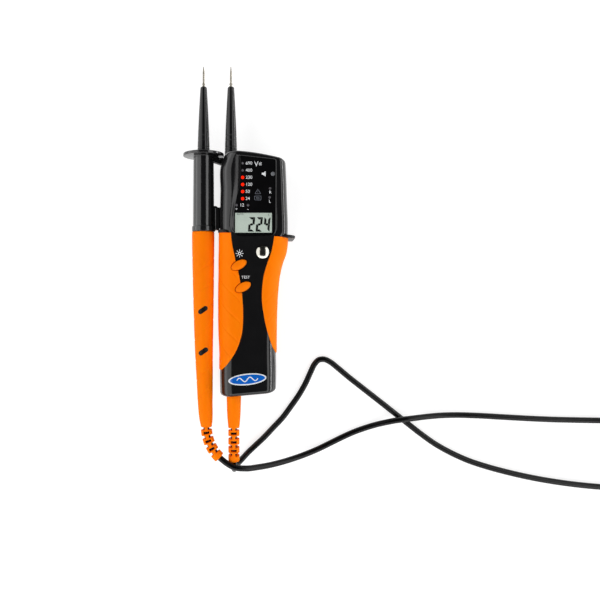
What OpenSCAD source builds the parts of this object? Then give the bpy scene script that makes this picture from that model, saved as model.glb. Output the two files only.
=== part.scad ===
// Two-pole voltage tester with a docked handset, lying on its back.
// X runs across the main unit, Y runs from the cord end to the probe tips, Z goes up through the display.
// The origin is on the flat back, on the main unit's centre line, level with its finger guard.

/* [Probes] */
// Distance between the two probe tips
tip_pitch = 19; // [18.5:0.25:20]
// Distance of the main probe from the centre line
probe_inset = 15.4; // [15:0.2:16]
// How far both probe axes lie above the middle of the depth
probe_rise = 2; // [1:0.5:3]
// Length of an insulating sleeve
sleeve_l = 47; // [44:0.5:50]
// Radius of a sleeve at its base
sleeve_base_r = 4.35; // [4.1:0.05:4.5]
// Radius of a sleeve at its tip
sleeve_tip_r = 2.25; // [1.9:0.05:2.6]
// Length of a bare probe pin
pin_l = 14.3; // [12:0.1:18]
// Radius of the straight stretch of a pin
pin_r = 0.75; // [0.6:0.05:1]

/* [Main housing] */
// Length of the head above the finger guard
head_l = 55.3; // [53.8:0.5:57.8]
// Length of the grip below the finger guard
grip_l = 109.5; // [105.5:1:115.5]
// Width of the head at the finger guard
head_w = 46; // [45:0.5:48]
// Depth of the head
body_d = 36; // [34:0.5:38]
// Wall of the housing
wall = 2.2; // [1.8:0.1:2.6]
// Reach of the finger guard beyond the right side
guard_reach = 5.3; // [3:0.1:7]
// Thickness of the finger guard
guard_t = 2; // [1.6:0.1:3]

/* [Soft grips] */
// How far the grips stand proud of the housing
grip_proud = 0.8; // [0.4:0.1:1.2]
// How deep the grips are let into the housing
grip_depth = 1.6; // [1.2:0.1:2]

/* [Display] */
// Width of the liquid crystal glass
lcd_w = 25; // [22:0.5:26]
// Height of the liquid crystal glass
lcd_h = 13.5; // [11:0.5:14]
// Thickness of the window
window_t = 1.6; // [1.2:0.1:2]
// Depth of the window's face below the front of the head
window_sink = 1.2; // [0.8:0.1:1.6]
// Radius of a level lamp
lamp_r = 1.35; // [1.15:0.1:1.55]
// Spacing of the level lamps
lamp_pitch = 4.76; // [4.4:0.02:4.9]

/* [Buttons] */
// Length of a button
button_l = 11.2; // [10:0.1:12]
// Width of a button
button_w = 5.8; // [5:0.1:6.4]
// Height of a button above the front
button_h = 1.3; // [1.2:0.1:1.8]
// Travel of a button
button_travel = 1; // [0.6:0.1:1.1]
// Radius of the touch electrode
electrode_r = 4.3; // [3.5:0.1:4.6]

/* [Handset] */
// Radius of the handset's barrel at its collar
barrel_r = 7.4; // [7.2:0.05:7.55]
// Radius of the finger flange
flange_r = 14.2; // [12:0.1:14.3]
// Thickness of the finger flange
flange_t = 2; // [1.6:0.1:3]
// Length of the handset's soft grip
handset_grip_l = 135.8; // [130:0.2:140]
// Radius of the handset's core tube
core_r = 3.6; // [3.2:0.1:3.8]

/* [Strain reliefs] */
// Outer radius of the ribbed part
relief_r = 3.9; // [3.6:0.05:4.1]
// Spacing of the ribs
rib_pitch = 5.95; // [5.6:0.05:6.3]
// Number of ribs
ribs = 4; // [3:1:5]
// Width of the gaps between ribs
rib_gap = 1.5; // [1.2:0.1:1.8]
// Bend of the handset's strain relief in degrees
handset_bend = 46; // [40:1:50]
// Droop of the main strain relief in degrees
main_droop = 12; // [8:1:14]

/* [Battery] */
// Diameter of a cell
cell_d = 10.5; // [10:0.1:10.6]
// Length of a cell
cell_l = 44.5; // [44:0.1:45]

/* [Cord] */
// Diameter of the cord
cord_d = 4.2; // [4:0.1:4.4]

/* [Hidden] */
$fn = 48;

// Clearance of parts that move, of parts that are pushed together, and of parts moulded together
run_gap = 0.3;
fit_gap = 0.1;
skin_gap = 0.05;
// Overrun of every cut
over = 1;
quarter = 90;
half_turn = 180;
full_turn = 360;

// The housing follows stations along its length. Each row holds the place along the head (positive)
// or along the grip (negative), the left and right edge and the front, and the slant of the station.
half_w = head_w / 2;
body_shares = [
    [-1.00, 0.985, 0.695, 0.862,  0.09],
    [-0.87, 1.001, 0.703, 0.868,  0.07],
    [-0.74, 0.997, 0.693, 0.862,  0.04],
    [-0.60, 1.027, 0.698, 0.856,  0.01],
    [-0.46, 1.033, 0.712, 0.860, -0.02],
    [-0.35, 1.032, 0.739, 0.872, -0.04],
    [-0.25, 1.020, 0.790, 0.888, -0.05],
    [-0.17, 1.019, 0.872, 0.908, -0.06],
    [-0.10, 1.010, 0.981, 0.932, -0.07],
    [-0.03, 1.005, 1.024, 0.970, -0.08],
    [ 0.02, 1.000, 1.034, 1.000, -0.08],
    [ 0.50, 0.985, 1.013, 1.000, -0.11],
    [ 0.86, 0.955, 0.985, 1.000, -0.13],
    [ 1.00, 0.820, 0.968, 1.000, -0.14]
];
top_slant = body_shares[len(body_shares) - 1][4];
// Radii of the housing's long edges as shares of its half width and depth
left_edge_share = [0.43, 0.36];
right_edge_share = [0.33, 0.33];
back_edge_share = [0.26, 0.2];
corner_steps = 6;
// Rounding of the cord end and of the probe end, and how far the probe end bows, a square millimetre across
end_r = 3.5;
head_end_r = 2.2;
end_bow = 0.0032;
end_steps = 3;

// The sleeves stand on the slanted top of the head
sleeve_y = head_l - top_slant * probe_inset - end_bow * pow(probe_inset, 2);
sleeve_bulge = 0.2;
foot_l = 3.2;
main_x = -probe_inset;
handset_x = -(probe_inset + tip_pitch);
// The probe axes and the seam between the shells lie level with each other
probe_z = body_d / 2 + probe_rise;
seam_z = probe_z;

// Finger guard
guard_slant = -4.5;
guard_y = 1.5;
guard_left = 0.9;
guard_low = 0.8;
guard_edge_r = 7;

// Soft grips: the inner edge of each grip on the front, as shares of half width and grip length
left_grip_shares = [
    [-0.65, 0.030], [-0.62, -0.05], [-0.515, -0.163], [-0.417, -0.25], [-0.33, -0.345],
    [-0.283, -0.44], [-0.275, -0.53], [-0.30, -0.60], [-0.37, -0.655], [-0.48, -0.71],
    [-0.61, -0.76], [-0.78, -0.805], [-0.93, -0.838]
];
right_grip_shares = [
    [0.63, 0.00], [0.54, -0.10], [0.43, -0.17], [0.335, -0.237], [0.28, -0.308], [0.262, -0.367],
    [0.27, -0.425], [0.317, -0.496], [0.387, -0.575], [0.478, -0.635], [0.575, -0.68], [0.68, -0.725]
];
grip_low_z = 4;

// Window outline as shares of half width and head length
window_shares = [
    [0.65, 0.036], [0.66, 0.902], [-0.365, 0.955], [-0.38, 0.618], [-0.46, 0.484], [-0.57, 0.299],
    [-0.64, 0.165], [-0.65, 0.093], [-0.57, 0.01], [-0.40, -0.031], [0.58, -0.015]
];
window_mid = [0, 0.45 * head_l];
bevel_w = 3.7;
front_z = body_d;
window_top = front_z - window_sink;
window_low = window_top - window_t;
ledge_t = 1.6;
lcd_x = 0.4;
lcd_y = 7.5;
lcd_sink = 0.3;
lcd_glass_t = 3.2;
lamp_x = -6.9;
lamp_drop = 7.7;
lamp_top_y = head_l - lamp_drop;
lamps_lit = [2, 3, 4, 5];
lamps_dark = [0, 1];
lamp_proud = 0.15;
small_lamp_r = 0.9;
small_lamp_share = [[-0.478, 0.349], [-0.143, 0.349], [0.504, 0.554], [0.491, 0.445]];
lens_share = [0.585, 0.732];

// Bay for the circuit board inside the housing. The board hangs below the buttons by their stack.
bay_w = 28.5;
bay_low_y = -0.564 * grip_l;
bay_end_wall = 5;
bay_high_y = head_l - bay_end_wall;
bay_right = side_at(bay_low_y, 2) - grip_depth - wall;
bay_left = bay_right - bay_w;
head_bay_right = lcd_x + lcd_w / 2 + ledge_t / 2;
waist_wall = 3.8;
waist_top = front_at(bay_low_y) - waist_wall;
board_side = 1.5;
board_t = 1.6;
switch_h = 1.25;
retainer_t = 0.8;
board_top = waist_top - run_gap - retainer_t - button_travel - fit_gap - switch_h;
board_z = board_top - board_t;
buzzer_h = 7;
bay_low_z = board_z - buzzer_h;

// Buttons: places as shares, and how they are turned
button_turn = 28;
lamp_button_share = [-0.41, -0.19];
test_button_share = [-0.29, -0.327];
electrode_share = [0.287, -0.111];
electrode_h = 1.7;
electrode_seat = 0.6;
retainer_lip = 0.8;
plunger_h = 0.4;
switch_w = 6;
plunger_r = 1.6;

// Badge
badge_l = 26;
badge_w = 7.8;
badge_t = 0.6;
badge_turn = 6;
badge_share = [-0.165, -0.90];

// Battery box and its cover
cell_gap = 0.4;
contact_t = 1.3;
cover_t = 2;
cover_lip = 2.4;
cover_sink = 0.3;
box_x = -3.5;
box_w = 2 * cell_d + 4 * cell_gap;
box_l = cell_l + 2 * contact_t + 2 * fit_gap;
box_y = -0.627 * grip_l;
box_floor = cover_sink + cover_t + run_gap;
cover_tail = 8;
screw_r = 1.25;
screw_head_r = 2.5;
screw_head_t = 1.6;
screw_sink = 4.4;
screw_cover = 4;
screw_share = [[-0.765, 0.618], [0.75, 0.794], [0.12, -0.955]];
// The shell screws end this far below the front at its lowest
screw_top = front_at(screw_share[2].y * grip_l) - screw_cover;

// Handset
barrel_top_r = 7.05;
collar_r = 8.1;
collar_l = 3.7;
collar_y = 2.75;
flange_rise = 0.4;
flange_y = sleeve_y + flange_rise;
rim_r = 0.6;
barrel_bore_r = 5.2;
barrel_bore_top = 46;
plug_l = 10;
core_share = 0.663;
core_l = core_share * handset_grip_l;
core_bore_r = 2.5;
// The grip's rows hold the place along it, its radius and the shift of its centre to the right
handset_grip_shares = [
    [0.00, 1.050, -0.042], [0.02, 1.050, -0.042], [0.25, 0.995, -0.027], [0.50, 0.900, 0.007],
    [0.62, 0.840, 0.03], [0.72, 0.787, 0.078], [0.80, 0.742, 0.115], [0.88, 0.696, 0.149],
    [0.95, 0.637, 0.209], [0.975, 0.590, 0.236], [0.99, 0.537, 0.253], [1.00, 0.527, 0.257]
];
grip_sides = 24;
inlay_l = 7.4;
inlay_w = 3.2;
inlay_turn = 35;
inlay_share = [0.40, 0.61];
inlay_sink = 0.25;

// Docking fins of the handset and their slots in the main housing
fin_t = 4.6;
fin_gap = 0.35;
tongue_t = 3;
tongue_l = 1.6;
upper_fin_l = 6.2;
lower_fin_y = 4.2;
lower_fin_l = 16.4;
fin_neck = 1;

// Strain reliefs
sleeve_root_r = 5.15;
relief_sleeve_l = 24;
relief_y = -grip_l;
relief_shoulder = 0.4;
collar_gap_l = 3;
relief_collar_l = 2.2;
ribbed_l = ribs * rib_pitch;
slot_w = 4;
slot_h = 1.3;
cord_r = cord_d / 2;
core_gap = 0.1;
notch_web = 1.3;
slot_reach = 1.2;
handset_relief_x = handset_x + handset_grip_shares[len(handset_grip_shares) - 1][2] * barrel_r;
handset_relief_y = collar_y - handset_grip_l;

// Cord routes, in millimetres, from each strain relief to the coil, for a cord of this radius
route_r = 1.9;
main_route = [
    [-13.3, -159.1, 17.1], [-13.3, -162.2, 15.6], [-13.3, -164.3, 13], [-13.2, -165.1, 9.7],
    [-12.3, -164.4, 5.9], [-10.3, -162.4, 3.1], [-7.6, -159.7, 2.05], [-4.2, -156, 2],
    [1, -151, 2], [7.9, -144.5, 2], [14.4, -137.6, 2], [20.9, -130.7, 2], [27.4, -122, 2],
    [33, -114, 2], [38, -105.2, 2], [42, -96.4, 2], [44.4, -91.6, 2], [47.6, -88.4, 2],
    [51.6, -88, 2], [55.6, -89.8, 2], [61.5, -94.4, 2], [69, -100.7, 2], [77.5, -107.4, 2],
    [86.2, -114.2, 2], [94.9, -121, 2], [103.6, -127.9, 2], [112.3, -134.8, 2], [121.5, -142, 2],
    [132, -149.4, 2], [143.5, -155.8, 2], [156, -161.4, 2], [170, -166, 2], [185, -170, 2],
    [201, -173.6, 2], [218, -176.6, 2], [236, -179, 2], [254, -180.6, 2], [269, -181.1, 2]
];
handset_route = [
    [-18.8, -157.9, 20.9], [-13.2, -160.7, 21.9], [-5, -162, 20.6], [3.5, -162, 17.2],
    [12, -161.5, 13.5], [20.6, -160.3, 10.1], [29.4, -158.4, 7.2], [38.1, -155.9, 4.9],
    [46.9, -152.7, 3.2], [55.7, -148.7, 2.3], [64.4, -144.5, 2], [73.1, -140.6, 2],
    [81.8, -137.4, 2.4], [89, -135, 3.4], [96, -133, 5], [102.8, -131.4, 6.4],
    [109, -130.5, 6.7], [115.7, -129.9, 5.9], [124.8, -129.2, 4.1], [135, -128.6, 2.7],
    [146, -128.4, 2], [162, -128.8, 2], [180, -129.8, 2], [198, -130.8, 2],
    [216, -131.6, 2], [234, -132, 2.2], [250, -132.1, 3.1], [266, -131.9, 5]
];
cord_sides = 8;

// The stored part of the cord: a round coil wound in, up one layer and out again
coil_mid = [286, -156.4];
coil_r = 24.8;
coil_pitch = cord_d + 0.5;
coil_turns_in = 1.5;
coil_sides = 6;
rings_a_turn = 24;
coil_low_z = cord_r + 0.1;

// Shapes shared by several pieces

function oval(long_r, short_r, steps = 36) =
    [for (i = [0 : steps - 1]) let (a = full_turn * i / steps) [long_r * cos(a), short_r * sin(a)]];

function arc(mid, r, from, steps) =
    [for (i = [0 : steps]) let (a = from + quarter * i / steps) [mid.x + r.x * cos(a), mid.y + r.y * sin(a)]];

// Joins equal rings of points into one closed skin
module loft(rings) {
    n = len(rings[0]);
    last = len(rings) - 1;
    points = [for (ring = rings) each ring];
    sides = [for (i = [0 : last - 1], j = [0 : n - 1]) let (k = (j + 1) % n)
        each [[i * n + j, i * n + k, (i + 1) * n + k], [i * n + j, (i + 1) * n + k, (i + 1) * n + j]]];
    low = [for (j = [1 : n - 2]) [0, j + 1, j]];
    high = [for (j = [1 : n - 2]) [last * n, last * n + j, last * n + j + 1]];
    polyhedron(points, concat(sides, low, high));
}

// Turns a solid made along +Z so that it runs along +Y
module along_y() {
    rotate([-quarter, 0, 0]) children();
}

// A solid of revolution about an axis parallel to Y
module turned(x, z, profile) {
    translate([x, 0, z]) along_y() rotate_extrude() polygon(profile);
}

module prism(points, low, high) {
    translate([0, 0, low]) linear_extrude(high - low) polygon(points);
}

module block(low, high) {
    translate(low) cube(high - low);
}

function place(share) = [share.x * half_w, share.y * (share.y > 0 ? head_l : grip_l)];

function station_y(row) = row[0] * (row[0] > 0 ? head_l : grip_l);

// Height of the front at a place along the housing
function front_at(y) = body_d * lookup(y, [for (row = body_shares) [station_y(row), row[3]]]);

function side_at(y, column) = half_w * lookup(y, [for (row = body_shares) [station_y(row), row[column]]]);

// One cross-section of the housing, inset by e, at height y along it
function section(row, y, e) =
    let (
        left = -half_w * row[1] + e,
        right = half_w * row[2] - e,
        low = e,
        high = body_d * row[3] - e,
        lr = [max(left_edge_share.x * half_w - e, 1), max(left_edge_share.y * body_d - e, 1)],
        rr = [max(right_edge_share.x * half_w - e, 1), max(right_edge_share.y * body_d - e, 1)],
        br = [max(back_edge_share.x * half_w - e, 1), max(back_edge_share.y * body_d - e, 1)],
        outline = concat(
            arc([right - rr.x, high - rr.y], rr, 0, corner_steps),
            arc([left + lr.x, high - lr.y], lr, quarter, corner_steps),
            arc([left + br.x, low + br.y], br, 2 * quarter, corner_steps),
            arc([right - br.x, low + br.y], br, 3 * quarter, corner_steps)
        )
    )
    [for (p = outline) [p.x, y + row[4] * p.x - bow(row[0]) * pow(p.x, 2), p.y]];

// The stations bow more towards the probe end
function bow(share) = end_bow * pow(max(share, 0), 2);

function body_rings(e) =
    let (
        last = len(body_shares) - 1,
        angles = [for (i = [0 : end_steps]) quarter * i / end_steps],
        low_y = station_y(body_shares[0]),
        high_y = station_y(body_shares[last])
    )
    concat(
        [for (i = [end_steps : -1 : 0]) let (a = angles[i])
            section(body_shares[0], low_y + e + end_r * (1 - sin(a)), e + end_r * (1 - cos(a)))],
        [for (i = [1 : last - 1]) section(body_shares[i], station_y(body_shares[i]), e)],
        [for (a = angles)
            section(body_shares[last], high_y - e - head_end_r * (1 - sin(a)), e + head_end_r * (1 - cos(a)))]
    );

// The outer form of the main housing; a negative inset makes it larger
module body_form(e = 0) {
    loft(body_rings(e));
}

module guard_plate() {
    left = -side_at(0, 1) - guard_left;
    right = side_at(0, 2) + guard_reach;
    high = body_d - guard_low;
    r = [guard_edge_r, guard_edge_r];
    low_r = r / 2;
    outline = concat(
        arc([right - r.x, high - r.y], r, 0, corner_steps),
        arc([left + r.x, high - r.y], r, quarter, corner_steps),
        arc([left + low_r.x, low_r.y], low_r, 2 * quarter, corner_steps),
        arc([right - low_r.x, low_r.y], low_r, 3 * quarter, corner_steps)
    );
    translate([0, guard_y, 0]) rotate([0, 0, guard_slant]) rotate([quarter, 0, 0])
        linear_extrude(guard_t) polygon(outline);
}

// The space that the grip of one side takes, deeper or wider by gap
module grip_space(shares, side, gap) {
    edge = [for (s = shares) [s.x * half_w + side * gap, s.y * grip_l]];
    last = edge[len(edge) - 1];
    far = -side * 2 * half_w;
    low = last.y - gap;
    slope = tan(guard_slant);
    top = guard_y - guard_t / cos(guard_slant) + gap;
    outline = concat(
        [[far, top + slope * far], [edge[0].x, top + slope * edge[0].x]],
        [for (i = [1 : len(edge) - 1]) edge[i]],
        [[-side * 1.5 * half_w, low]]
    );
    prism(outline, grip_low_z - gap, body_d + over);
}

module grip_recess(shares, side) {
    difference() {
        grip_space(shares, side, skin_gap);
        body_form(grip_depth + skin_gap);
    }
}

module button_hole(share, gap, low, high) {
    p = place(share);
    translate([p.x, p.y, 0]) rotate(button_turn)
        prism(oval(button_l / 2 + gap, button_w / 2 + gap), low, high);
}

// Main unit

module board_bay() {
    block([bay_left, bay_low_y, bay_low_z], [bay_right, 0, waist_top]);
    block([bay_left, -over, bay_low_z], [head_bay_right, bay_high_y, window_low - ledge_t]);
}

module sleeve_seat(x) {
    turned(x, probe_z, [
        [0, sleeve_y - foot_l], [sleeve_base_r + fit_gap, sleeve_y - foot_l],
        [sleeve_base_r + fit_gap, sleeve_y + 2 * over], [0, sleeve_y + 2 * over]
    ]);
}

// Slots in the left side that take the tongues of the handset's fins
module dock_slots() {
    for (f = [[upper_fin_y(), upper_fin_l], [lower_fin_y, lower_fin_l]]) {
        root = fin_root(f[0], f[1]);
        block([root - over - wall, f[0] + fin_neck - run_gap, probe_z - tongue_t / 2 - run_gap],
            [root + fin_gap + tongue_l + run_gap, f[0] + f[1] - fin_neck + run_gap,
                probe_z + tongue_t / 2 + run_gap]);
    }
}

function upper_fin_y() = flange_y - flange_t - upper_fin_l;

// A fin's shoulder stands this far out, just short of the housing's side
function fin_root(y, l) = -max(side_at(y + top_slant * half_w, 1), side_at(y + l, 1)) - fin_gap;

module relief_seat() {
    turned(main_x_relief(), probe_z, [
        [0, relief_y - 3 * over], [sleeve_root_r + fit_gap, relief_y - 3 * over],
        [sleeve_root_r + fit_gap, relief_y + relief_shoulder + over],
        [relief_r + fit_gap, relief_y + relief_shoulder + over],
        [relief_r + fit_gap, relief_y + over + collar_gap_l],
        [sleeve_root_r + fit_gap, relief_y + over + collar_gap_l],
        [sleeve_root_r + fit_gap, relief_y + over + collar_gap_l + relief_collar_l],
        [0, relief_y + over + collar_gap_l + relief_collar_l]
    ]);
}

function main_x_relief() = -0.58 * half_w;

module light_seat() {
    p = light_place();
    turned(p.x, probe_z, [
        [0, p.y - light_l - fit_gap], [light_r + fit_gap, p.y - light_l - fit_gap],
        [light_r + fit_gap, p.y + 2 * over], [0, p.y + 2 * over]
    ]);
}

light_r = 2.5;
light_l = 3.8;
light_proud = 0.5;
light_share = 0.1;

function light_place() = [light_share * half_w, head_l + top_slant * light_share * half_w + light_proud];

module housing() {
    difference() {
        union() {
            body_form();
            guard_plate();
        }
        sleeve_seat(main_x);
        dock_slots();
        relief_seat();
        light_seat();
    }
}

function grown(points, mid, gap) =
    [for (p = points) let (d = p - mid) p + d * (gap / norm(d))];

window_points = [for (s = window_shares) [s.x * half_w, s.y * head_l]];

module window_pocket() {
    pocket = grown(window_points, window_mid, fit_gap);
    spread = bevel_w * (1 + over / window_sink);
    wide = [for (p = window_points) p + (p.x < 0 ? [-spread, p.y < lcd_y ? -over : 0] : [0, 0])];
    prism(pocket, window_low, front_z + 2 * over);
    loft([[for (p = wide) [p.x, p.y, front_z + over]], [for (p = window_points) [p.x, p.y, window_top]]]);
}

module window_opening() {
    low = window_low - ledge_t - over;
    high = window_low + fit_gap;
    block([lcd_x - lcd_w / 2 - fit_gap, lcd_y - lcd_h / 2 - fit_gap, low],
        [head_bay_right, lcd_y + lcd_h / 2 + fit_gap, high]);
    block([lamp_x - lamp_r - ledge_t / 2, lcd_y, low],
        [head_bay_right, lamp_top_y + lamp_r + ledge_t / 2, high]);
    for (s = small_lamp_share) {
        p = place(s);
        translate([p.x, p.y, low]) cylinder(r = small_lamp_r + fit_gap, h = high - low);
    }
    lens = place(lens_share);
    translate([lens.x, lens.y, window_low - ledge_t]) cylinder(r = lamp_r + fit_gap, h = ledge_t + fit_gap);
}

module shell_screw_holes(low, high, r) {
    for (s = screw_share) {
        p = place(s);
        translate([p.x, p.y, low]) cylinder(r = r, h = high - low);
    }
}

module front_shell() {
    color("#1a1a1c") difference() {
        intersection() {
            housing();
            block([-2 * head_w, -2 * grip_l, seam_z], [2 * head_w, 2 * head_l, 2 * body_d]);
        }
        grip_recess(left_grip_shares, 1);
        grip_recess(right_grip_shares, -1);
        board_bay();
        window_pocket();
        window_opening();
        button_hole(lamp_button_share, run_gap, waist_top - over, 2 * body_d);
        button_hole(test_button_share, run_gap, waist_top - over, 2 * body_d);
        electrode_hole();
        badge_recess();
        shell_screw_holes(seam_z - over, screw_top, screw_r - skin_gap);
    }
}

module rear_shell() {
    color("#161618") difference() {
        intersection() {
            housing();
            block([-2 * head_w, -2 * grip_l, -over], [2 * head_w, 2 * head_l, seam_z]);
        }
        grip_recess(left_grip_shares, 1);
        grip_recess(right_grip_shares, -1);
        board_bay();
        battery_box();
        shell_screw_holes(-over, seam_z + over, screw_r + fit_gap);
        shell_screw_holes(-over, screw_sink + screw_head_t, screw_head_r + fit_gap);
    }
}

module soft_grip(shares, side) {
    difference() {
        intersection() {
            body_form(-grip_proud);
            grip_space(shares, side, 0);
        }
        body_form(grip_depth);
        button_hole(lamp_button_share, run_gap, 0, 2 * body_d);
        button_hole(test_button_share, run_gap, 0, 2 * body_d);
    }
}

module left_grip() {
    color("#ff8000") soft_grip(left_grip_shares, 1);
}

module right_grip() {
    color("#ff8000") soft_grip(right_grip_shares, -1);
}

module display_window() {
    color("#050506") difference() {
        prism(window_points, window_low, window_top);
        block([lcd_x - lcd_w / 2 - fit_gap, lcd_y - lcd_h / 2 - fit_gap, window_low - over],
            [lcd_x + lcd_w / 2 + fit_gap, lcd_y + lcd_h / 2 + fit_gap, window_top + over]);
        for (p = level_places(concat(lamps_lit, lamps_dark))) lamp_hole(p, lamp_r);
        for (s = small_lamp_share) lamp_hole(place(s), small_lamp_r);
        lamp_hole(place(lens_share), lamp_r);
    }
}

function level_places(rows) = [for (i = rows) [lamp_x, lamp_top_y - i * lamp_pitch]];

module lamp_hole(p, r) {
    translate([p.x, p.y, window_low - over]) cylinder(r = r + skin_gap, h = window_t + 2 * over);
}

// A lamp's clear rod stands on the board and ends in the window
module lamp(p, r) {
    translate([p.x, p.y, board_top]) cylinder(r = r, h = window_top + lamp_proud - board_top);
}

module lit_lamps() {
    color("red") for (p = level_places(lamps_lit)) lamp(p, lamp_r);
}

module dark_lamps() {
    color("#3a2020") for (p = level_places(lamps_dark)) lamp(p, lamp_r);
}

module polarity_lamps() {
    color("#3a3040") for (s = small_lamp_share) lamp(place(s), small_lamp_r);
}

// The light sensor's lens sits in the window and in the ledge behind it
module round_lens() {
    p = place(lens_share);
    low = window_low - ledge_t;
    color("#8c8c90") translate([p.x, p.y, low]) cylinder(r = lamp_r, h = window_top + lamp_proud - low);
}

module lcd_module() {
    glass_top = window_top - lcd_sink;
    glass_low = glass_top - lcd_glass_t;
    rim = ledge_t / 2;
    color("#b4c4b4") block([lcd_x - lcd_w / 2, lcd_y - lcd_h / 2, glass_low],
        [lcd_x + lcd_w / 2, lcd_y + lcd_h / 2, glass_top]);
    color("#303234") block([lcd_x - lcd_w / 2 + rim, lcd_y - lcd_h / 2 + rim, board_top],
        [lcd_x + lcd_w / 2 - rim, lcd_y + lcd_h / 2 - rim, glass_low + rim]);
}

module badge_recess() {
    difference() {
        badge_prism(fit_gap);
        body_form(badge_t + skin_gap);
    }
}

module badge_prism(gap) {
    p = place(badge_share);
    translate([p.x, p.y, 0]) rotate(badge_turn)
        prism(oval(badge_l / 2 + gap, badge_w / 2 + gap), seam_z, 2 * body_d);
}

// The badge follows the crown of the front
module badge_plate() {
    color("#0058c8") difference() {
        intersection() {
            badge_prism(0);
            body_form();
        }
        body_form(badge_t);
    }
}

module electrode_hole() {
    p = place(electrode_share);
    z = front_at(p.y);
    translate([p.x, p.y, waist_top - over]) cylinder(r = electrode_r / 2 + fit_gap, h = body_d);
    translate([p.x, p.y, z - electrode_seat]) cylinder(r = electrode_r + fit_gap, h = body_d);
}

// A domed contact whose stem reaches down to the board
module touch_electrode() {
    p = place(electrode_share);
    low = front_at(p.y) - electrode_seat;
    ball_r = (pow(electrode_r, 2) + pow(electrode_h, 2)) / (2 * electrode_h);
    color("silver") translate([p.x, p.y, 0]) {
        translate([0, 0, board_top]) cylinder(r = electrode_r / 2, h = low - board_top);
        translate([0, 0, low]) intersection() {
            cylinder(r = electrode_r, h = electrode_seat + electrode_h);
            translate([0, 0, electrode_seat + electrode_h - ball_r]) sphere(r = ball_r);
        }
    }
}

// An oval cap in its well, with a crowned top and a retaining lip under the wall
module push_button(share) {
    p = place(share);
    face = front_at(p.y);
    a = button_l / 2;
    b = button_w / 2;
    crown = button_h / 2;
    lip_top = waist_top - run_gap;
    levels = [
        [face + button_h, crown * 1.6], [face + button_h * 0.8, crown * 0.5],
        [face + crown, 0], [lip_top, 0]
    ];
    translate([p.x, p.y, 0]) rotate(button_turn) {
        loft([for (l = levels) [for (q = oval(a - l[1], b - l[1])) [q.x, q.y, l[0]]]]);
        prism(oval(a + retainer_lip, b + retainer_lip), lip_top - retainer_t, lip_top);
    }
}

module lamp_button() {
    color("#ff8400") push_button(lamp_button_share);
}

module test_button() {
    color("#ff8400") push_button(test_button_share);
}

module sleeve(x) {
    ring = 0.35;
    mid_r = (sleeve_base_r + sleeve_tip_r) / 2 + sleeve_bulge;
    slope = (sleeve_base_r - mid_r) / (sleeve_l / 2);
    bands = [0.06, 0.10, 0.20, 0.27];
    color("#1a1a1c") difference() {
        turned(x, probe_z, concat(
            [[0, sleeve_y - foot_l], [sleeve_base_r, sleeve_y - foot_l], [sleeve_base_r, sleeve_y]],
            [for (b = bands, k = [[-ring, 0], [0, ring], [ring, 0]])
                [sleeve_base_r - slope * (b * sleeve_l + k[0]) - k[1] * 0.6, sleeve_y + b * sleeve_l + k[0]]],
            [[mid_r, sleeve_y + sleeve_l / 2], [sleeve_tip_r, sleeve_y + sleeve_l - sleeve_tip_r / 3],
                [sleeve_tip_r * 0.85, sleeve_y + sleeve_l - sleeve_tip_r / 10],
                [sleeve_tip_r * 0.6, sleeve_y + sleeve_l], [0, sleeve_y + sleeve_l]]
        ));
        bore_r = pin_root_r + skin_gap;
        bore_y = sleeve_y + sleeve_l - pin_root_l - fit_gap;
        bore_top = sleeve_y + sleeve_l + over;
        turned(x, probe_z, [[0, bore_y], [bore_r, bore_y], [bore_r, bore_top], [0, bore_top]]);
    }
}

pin_root_l = 10;
pin_root_r = 1.1;
pin_taper_share = 0.3;

// A stepped collar, a straight stretch and a tapered point
module probe_pin(x) {
    y = sleeve_y + sleeve_l;
    r = pin_r;
    color("#c9c4b4") turned(x, probe_z, [
        [0, y - pin_root_l], [pin_root_r, y - pin_root_l], [pin_root_r, y + r],
        [r * 1.1, y + r], [r * 1.1, y + 2 * r], [r * 1.5, y + 2 * r], [r * 1.5, y + 3 * r],
        [r, y + 3.4 * r], [r, y + pin_l * (1 - pin_taper_share)],
        [r * 0.3, y + pin_l - r * 0.3], [0, y + pin_l]
    ]);
}

module main_sleeve() {
    sleeve(main_x);
}

module main_pin() {
    probe_pin(main_x);
}

module head_light() {
    p = light_place();
    color("#e8eef2") turned(p.x, probe_z, [
        [0, p.y - light_l], [light_r, p.y - light_l], [light_r, p.y - light_proud],
        [light_r * 0.8, p.y], [0, p.y]
    ]);
}

module circuit_board() {
    low = bay_low_y + board_side;
    high = bay_high_y - board_side;
    left = bay_left + fit_gap;
    right = bay_right - fit_gap;
    color("#1e6b3a") prism([[left, low], [right, low], [right, high], [left, high]], board_z, board_top);
}

module push_switches() {
    plunger_top = board_top + switch_h;
    for (s = [lamp_button_share, test_button_share]) {
        p = place(s);
        color("#202022") block([p.x - switch_w / 2, p.y - switch_w / 2, board_top],
            [p.x + switch_w / 2, p.y + switch_w / 2, plunger_top - plunger_h]);
        color("#c0a040") translate([p.x, p.y, plunger_top - plunger_h])
            cylinder(r = plunger_r, h = plunger_h);
    }
}

buzzer_r = 5.5;
buzzer_share = [0.1, 0.62];

module buzzer() {
    p = place(buzzer_share);
    color("#101010") translate([p.x, p.y, bay_low_z]) difference() {
        cylinder(r = buzzer_r, h = buzzer_h);
        translate([0, 0, -over]) cylinder(r = buzzer_r / 5, h = 2 * over);
    }
}

// Battery box, open to the back
module battery_box() {
    low = box_y - box_l / 2;
    high = box_y + box_l / 2;
    block([box_x - box_w / 2, low, -over], [box_x + box_w / 2, high, box_top()]);
    block([box_x - box_w / 2 - cover_lip - run_gap, low - cover_tail - run_gap, -over],
        [box_x + box_w / 2 + cover_lip + run_gap, high + cover_lip + run_gap, box_floor]);
    translate([box_x, low - cover_tail / 2, -over])
        cylinder(r = screw_r + fit_gap, h = cover_screw_top() + over);
}

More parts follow.
